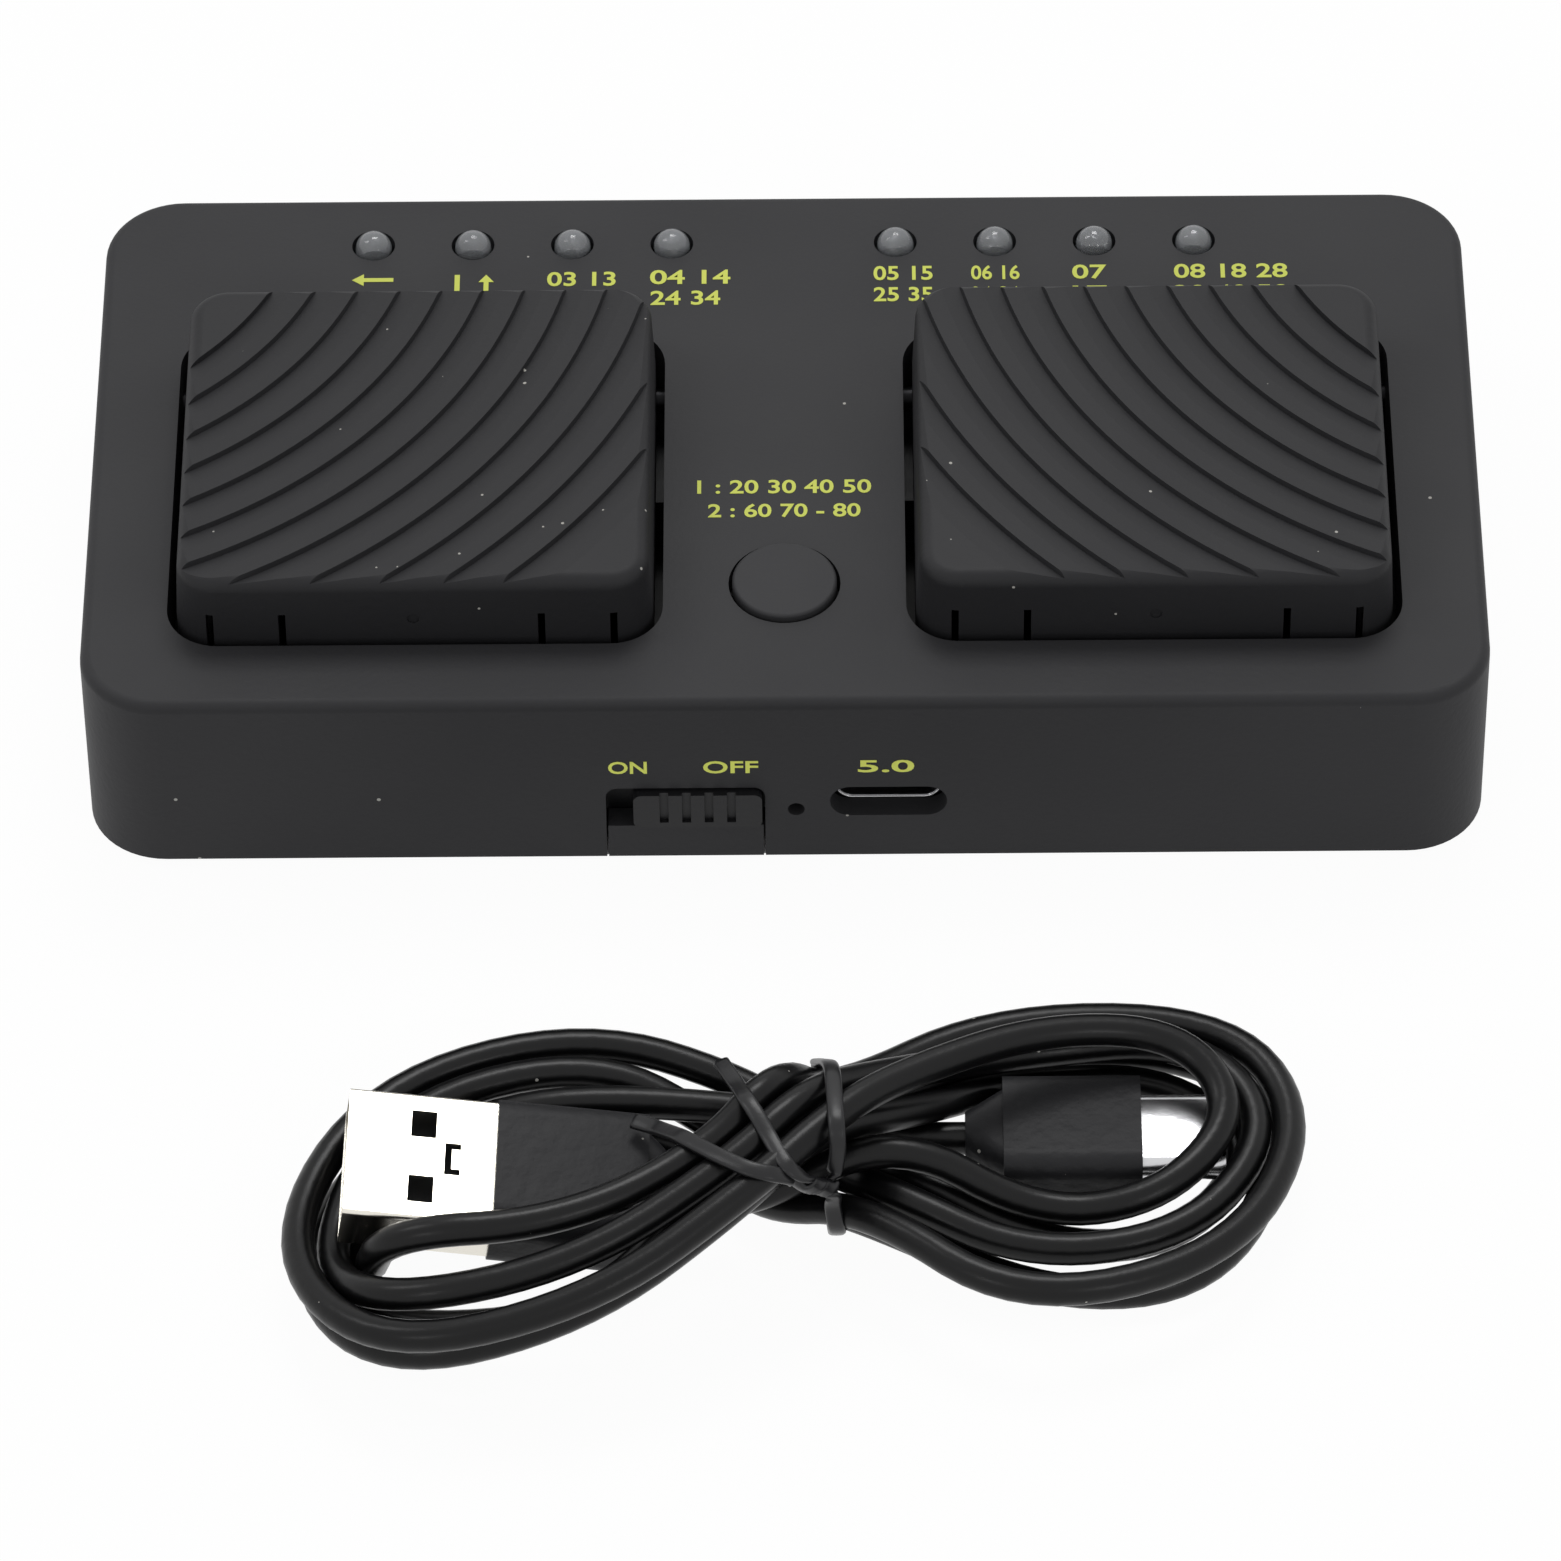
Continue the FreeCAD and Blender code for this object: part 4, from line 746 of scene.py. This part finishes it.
def waistLoop(places):
    # the waist's outline in Y and Z, stood off by half the ribbon, from the knot over the top and round
    near = places[np.abs(places[:, 0] - tie["x"]) < tie["reach"]][:, 1:]
    away = cable["thickness"] / 2 + tie["thickness"] / 2 + tie["standOff"]
    turn = np.linspace(0, 2 * math.pi, tie["outlineSides"], endpoint=False)
    ring = np.column_stack([np.cos(turn), np.sin(turn)]) * away
    outline = hullOf((near[:, None] + ring[None]).reshape(-1, 2))
    outline = np.vstack([outline, outline[:1]])
    length = lengthAlong(outline)
    even = np.linspace(0, length[-1], tie["loopSteps"], endpoint=False)
    loop = np.column_stack([np.interp(even, length, outline[:, i]) for i in (0, 1)])
    behind = loop[:, 0] > loop[:, 0].mean()
    fromKnot = np.where(behind, np.inf, np.abs(loop[:, 1] - tie["knotHeight"]))
    loop = np.roll(loop, -int(np.argmin(fromKnot)), axis=0)[::-1]
    loop = np.vstack([loop[-1:], loop])
    ahead = np.gradient(loop, axis=0)
    normals = np.column_stack([-ahead[:, 1], ahead[:, 0]])
    normals *= np.sign(np.sum(normals * (loop - loop.mean(0))))
    share = np.linspace(0, 1, len(loop))
    side = np.interp(share, list(tie["sideways"]), list(tie["sideways"].values()))
    loop = np.column_stack([tie["x"] + side, loop])
    return loop, np.column_stack([np.zeros(len(loop)), normals])


def twistPlaces(start, end, phase):
    # one strand of the twist from start to end, and the way its flat side faces
    along = end - start
    across = unit(np.cross(along, [0, 0, 1.0]))
    up = unit(np.cross(across, along))
    share = np.linspace(0, 1, tie["twistSteps"])[:, None]
    turn = phase + share * tie["twistTurns"] * 2 * math.pi
    out = across * np.cos(turn) + up * np.sin(turn)
    return start + along * share + out * tie["twistRadius"], out


def smoothed(values, passes):
    for i in range(passes):
        inner = (values[:-2] + 2 * values[1:-1] + values[2:]) / 4
        values = np.vstack([values[:1], inner, values[-1:]])
    return values


def evened(points, normals, step):
    length = lengthAlong(points)
    even = np.arange(0, length[-1], step)
    both = np.column_stack([points, normals])
    both = np.column_stack([np.interp(even, length, both[:, i]) for i in range(6)])
    return both[:, :3], both[:, 3:]


def ribbonMesh(points, normals):
    # a rounded flat section drawn along the points, its flat side facing along the normals
    ahead = unit(np.gradient(points, axis=0))
    normals = unit(normals - ahead * np.sum(normals * ahead, axis=1, keepdims=True))
    across = np.cross(ahead, normals)
    turn = np.linspace(0, 2 * math.pi, tie["sides"], endpoint=False)
    c, s = np.cos(turn), np.sin(turn)
    wide = np.sign(c) * np.abs(c) ** tie["roundness"][0] * tie["width"] / 2
    tall = np.sign(s) * np.abs(s) ** tie["roundness"][1] * tie["thickness"] / 2
    rings = points[:, None] + across[:, None] * wide[:, None] + normals[:, None] * tall[:, None]
    return rings.reshape(-1, 3), tubeFaces(len(points), tie["sides"], flipped=True)


def makeTie():
    loop, outward = waistLoop(cordPlaces(cablePoints / mm))
    start, end = (loop[0] + offset for offset in np.array(tie["twist"]))
    first, firstOut = twistPlaces(start, end, tie["twistPhase"])
    second, secondOut = twistPlaces(start, end, tie["twistPhase"] + math.pi)
    back = np.array(tie["tailBack"])[::-1]
    left = np.array(tie["tailLeft"])
    backOut = np.tile(tie["tailFacing"], (len(back), 1))
    leftOut = np.tile(tie["tailFacing"], (len(left), 1))
    inner = slice(tie["loopEnds"], -tie["loopEnds"])
    points = np.vstack([back, first[::-1], loop[inner], second, left])
    normals = np.vstack([backOut, firstOut[::-1], outward[inner], secondOut, leftOut])
    points, normals = evened(points, normals, tie["step"])
    points = smoothed(points, tie["smoothing"][0])
    normals = smoothed(normals, tie["smoothing"][1])
    twistTie = meshPiece("twist_tie_ribbon", *ribbonMesh(points, normals), "tie", smooth=True)
    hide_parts("twist_tie")


makeTie()
print("tie made")


# Floor, world and lamps

light = {"world": 0.46, "background": 1.0}
floorLook = {"shade": (252, 252, 252), "glow": 0.96, "reach": 3.0, "z": -0.0001}

# the middle of the slider's slot, and how far from it the floor doesn't glow, in metres
slotShade = {"x": -0.0082, "y": -0.0245, "besideX": 0.009, "besideY": 0.0045}

# name, place, target, size and power of the lamps, in metres and watts
lamps = [
    ("key", (0.05, 0.45, 0.85), (0, -0.02, 0), (0.4, 0.3), 3.0),
    ("side", (-0.5, 0.1, 0.6), (0, -0.03, 0), (0.15, 0.3), 0.6),
    ("frontLeft", (-0.3, -0.5, 0.34), (0, -0.02, 0), (0.07, 0.07), 0.14),
    ("frontRight", (0.3, -0.5, 0.34), (0, -0.02, 0), (0.07, 0.07), 0.2),
]


def seenDirectly(nodes, links):
    # 1 for camera, glossy and transmission rays
    path = nodes.new("ShaderNodeLightPath")
    two = mathNode(nodes, links, "MAXIMUM", path.outputs["Is Camera Ray"], path.outputs["Is Glossy Ray"])
    return mathNode(nodes, links, "MAXIMUM", two, path.outputs["Is Transmission Ray"])


def outsideSlot(nodes, links):
    # 0 on the floor that the gaps beside the slider's tab look down on, 1 on the rest of it
    place = nodes.new("ShaderNodeTexCoord")
    parts = nodes.new("ShaderNodeSeparateXYZ")
    links.new(place.outputs["Object"], parts.inputs["Vector"])
    apart = []
    for axis in ("X", "Y"):
        away = mathNode(nodes, links, "SUBTRACT", parts.outputs[axis], slotShade[axis.lower()])
        away = mathNode(nodes, links, "ABSOLUTE", away)
        apart.append(mathNode(nodes, links, "GREATER_THAN", away, slotShade["beside" + axis]))
    return mathNode(nodes, links, "MAXIMUM", *apart)


def makeFloor():
    material = bpy.data.materials.new("floor_finish")
    material.use_nodes = True
    nodes, links = material.node_tree.nodes, material.node_tree.links
    nodes.remove(nodes["Principled BSDF"])
    flat = nodes.new("ShaderNodeBsdfDiffuse")
    flat.inputs["Color"].default_value = linearOf(floorLook["shade"])
    glow = nodes.new("ShaderNodeEmission")
    glow.inputs["Strength"].default_value = light["background"]
    mixed = nodes.new("ShaderNodeMixShader")
    seen = mathNode(nodes, links, "MULTIPLY", seenDirectly(nodes, links), floorLook["glow"])
    amount = mathNode(nodes, links, "MULTIPLY", seen, outsideSlot(nodes, links))
    links.new(amount, mixed.inputs["Fac"])
    links.new(flat.outputs[0], mixed.inputs[1])
    links.new(glow.outputs[0], mixed.inputs[2])
    links.new(mixed.outputs[0], nodes["Material Output"].inputs["Surface"])
    mesh = bpy.data.meshes.new("floor")
    r = floorLook["reach"]
    mesh.from_pydata([(-r, -r, 0), (r, -r, 0), (r, r, 0), (-r, r, 0)], [], [(0, 1, 2, 3)])
    mesh.materials.append(material)
    floor = bpy.data.objects.new("floor", mesh)
    floor.location.z = floorLook["z"]
    scene.collection.objects.link(floor)


def makeWorld():
    world = bpy.data.worlds.new("studio")
    world.use_nodes = True
    nodes, links = world.node_tree.nodes, world.node_tree.links
    sky = nodes["Background"]
    sky.inputs["Color"].default_value = (1, 1, 1, 1)
    more = light["background"] - light["world"]
    strength = mathNode(nodes, links, "MULTIPLY_ADD", seenDirectly(nodes, links), more, light["world"])
    links.new(strength, sky.inputs["Strength"])
    scene.world = world


def makeLamps():
    for name, place, target, size, power in lamps:
        data = bpy.data.lights.new(name, "AREA")
        data.shape = "RECTANGLE"
        data.size, data.size_y = size
        data.energy = power
        lamp = bpy.data.objects.new(name, data)
        toward = Vector(target) - Vector(place)
        lamp.rotation_mode = "QUATERNION"
        lamp.rotation_quaternion = toward.to_track_quat("-Z", "Y")
        lamp.location = place
        scene.collection.objects.link(lamp)


makeFloor()
makeWorld()
makeLamps()
scene.view_settings.view_transform = "Standard"
print("stage made")
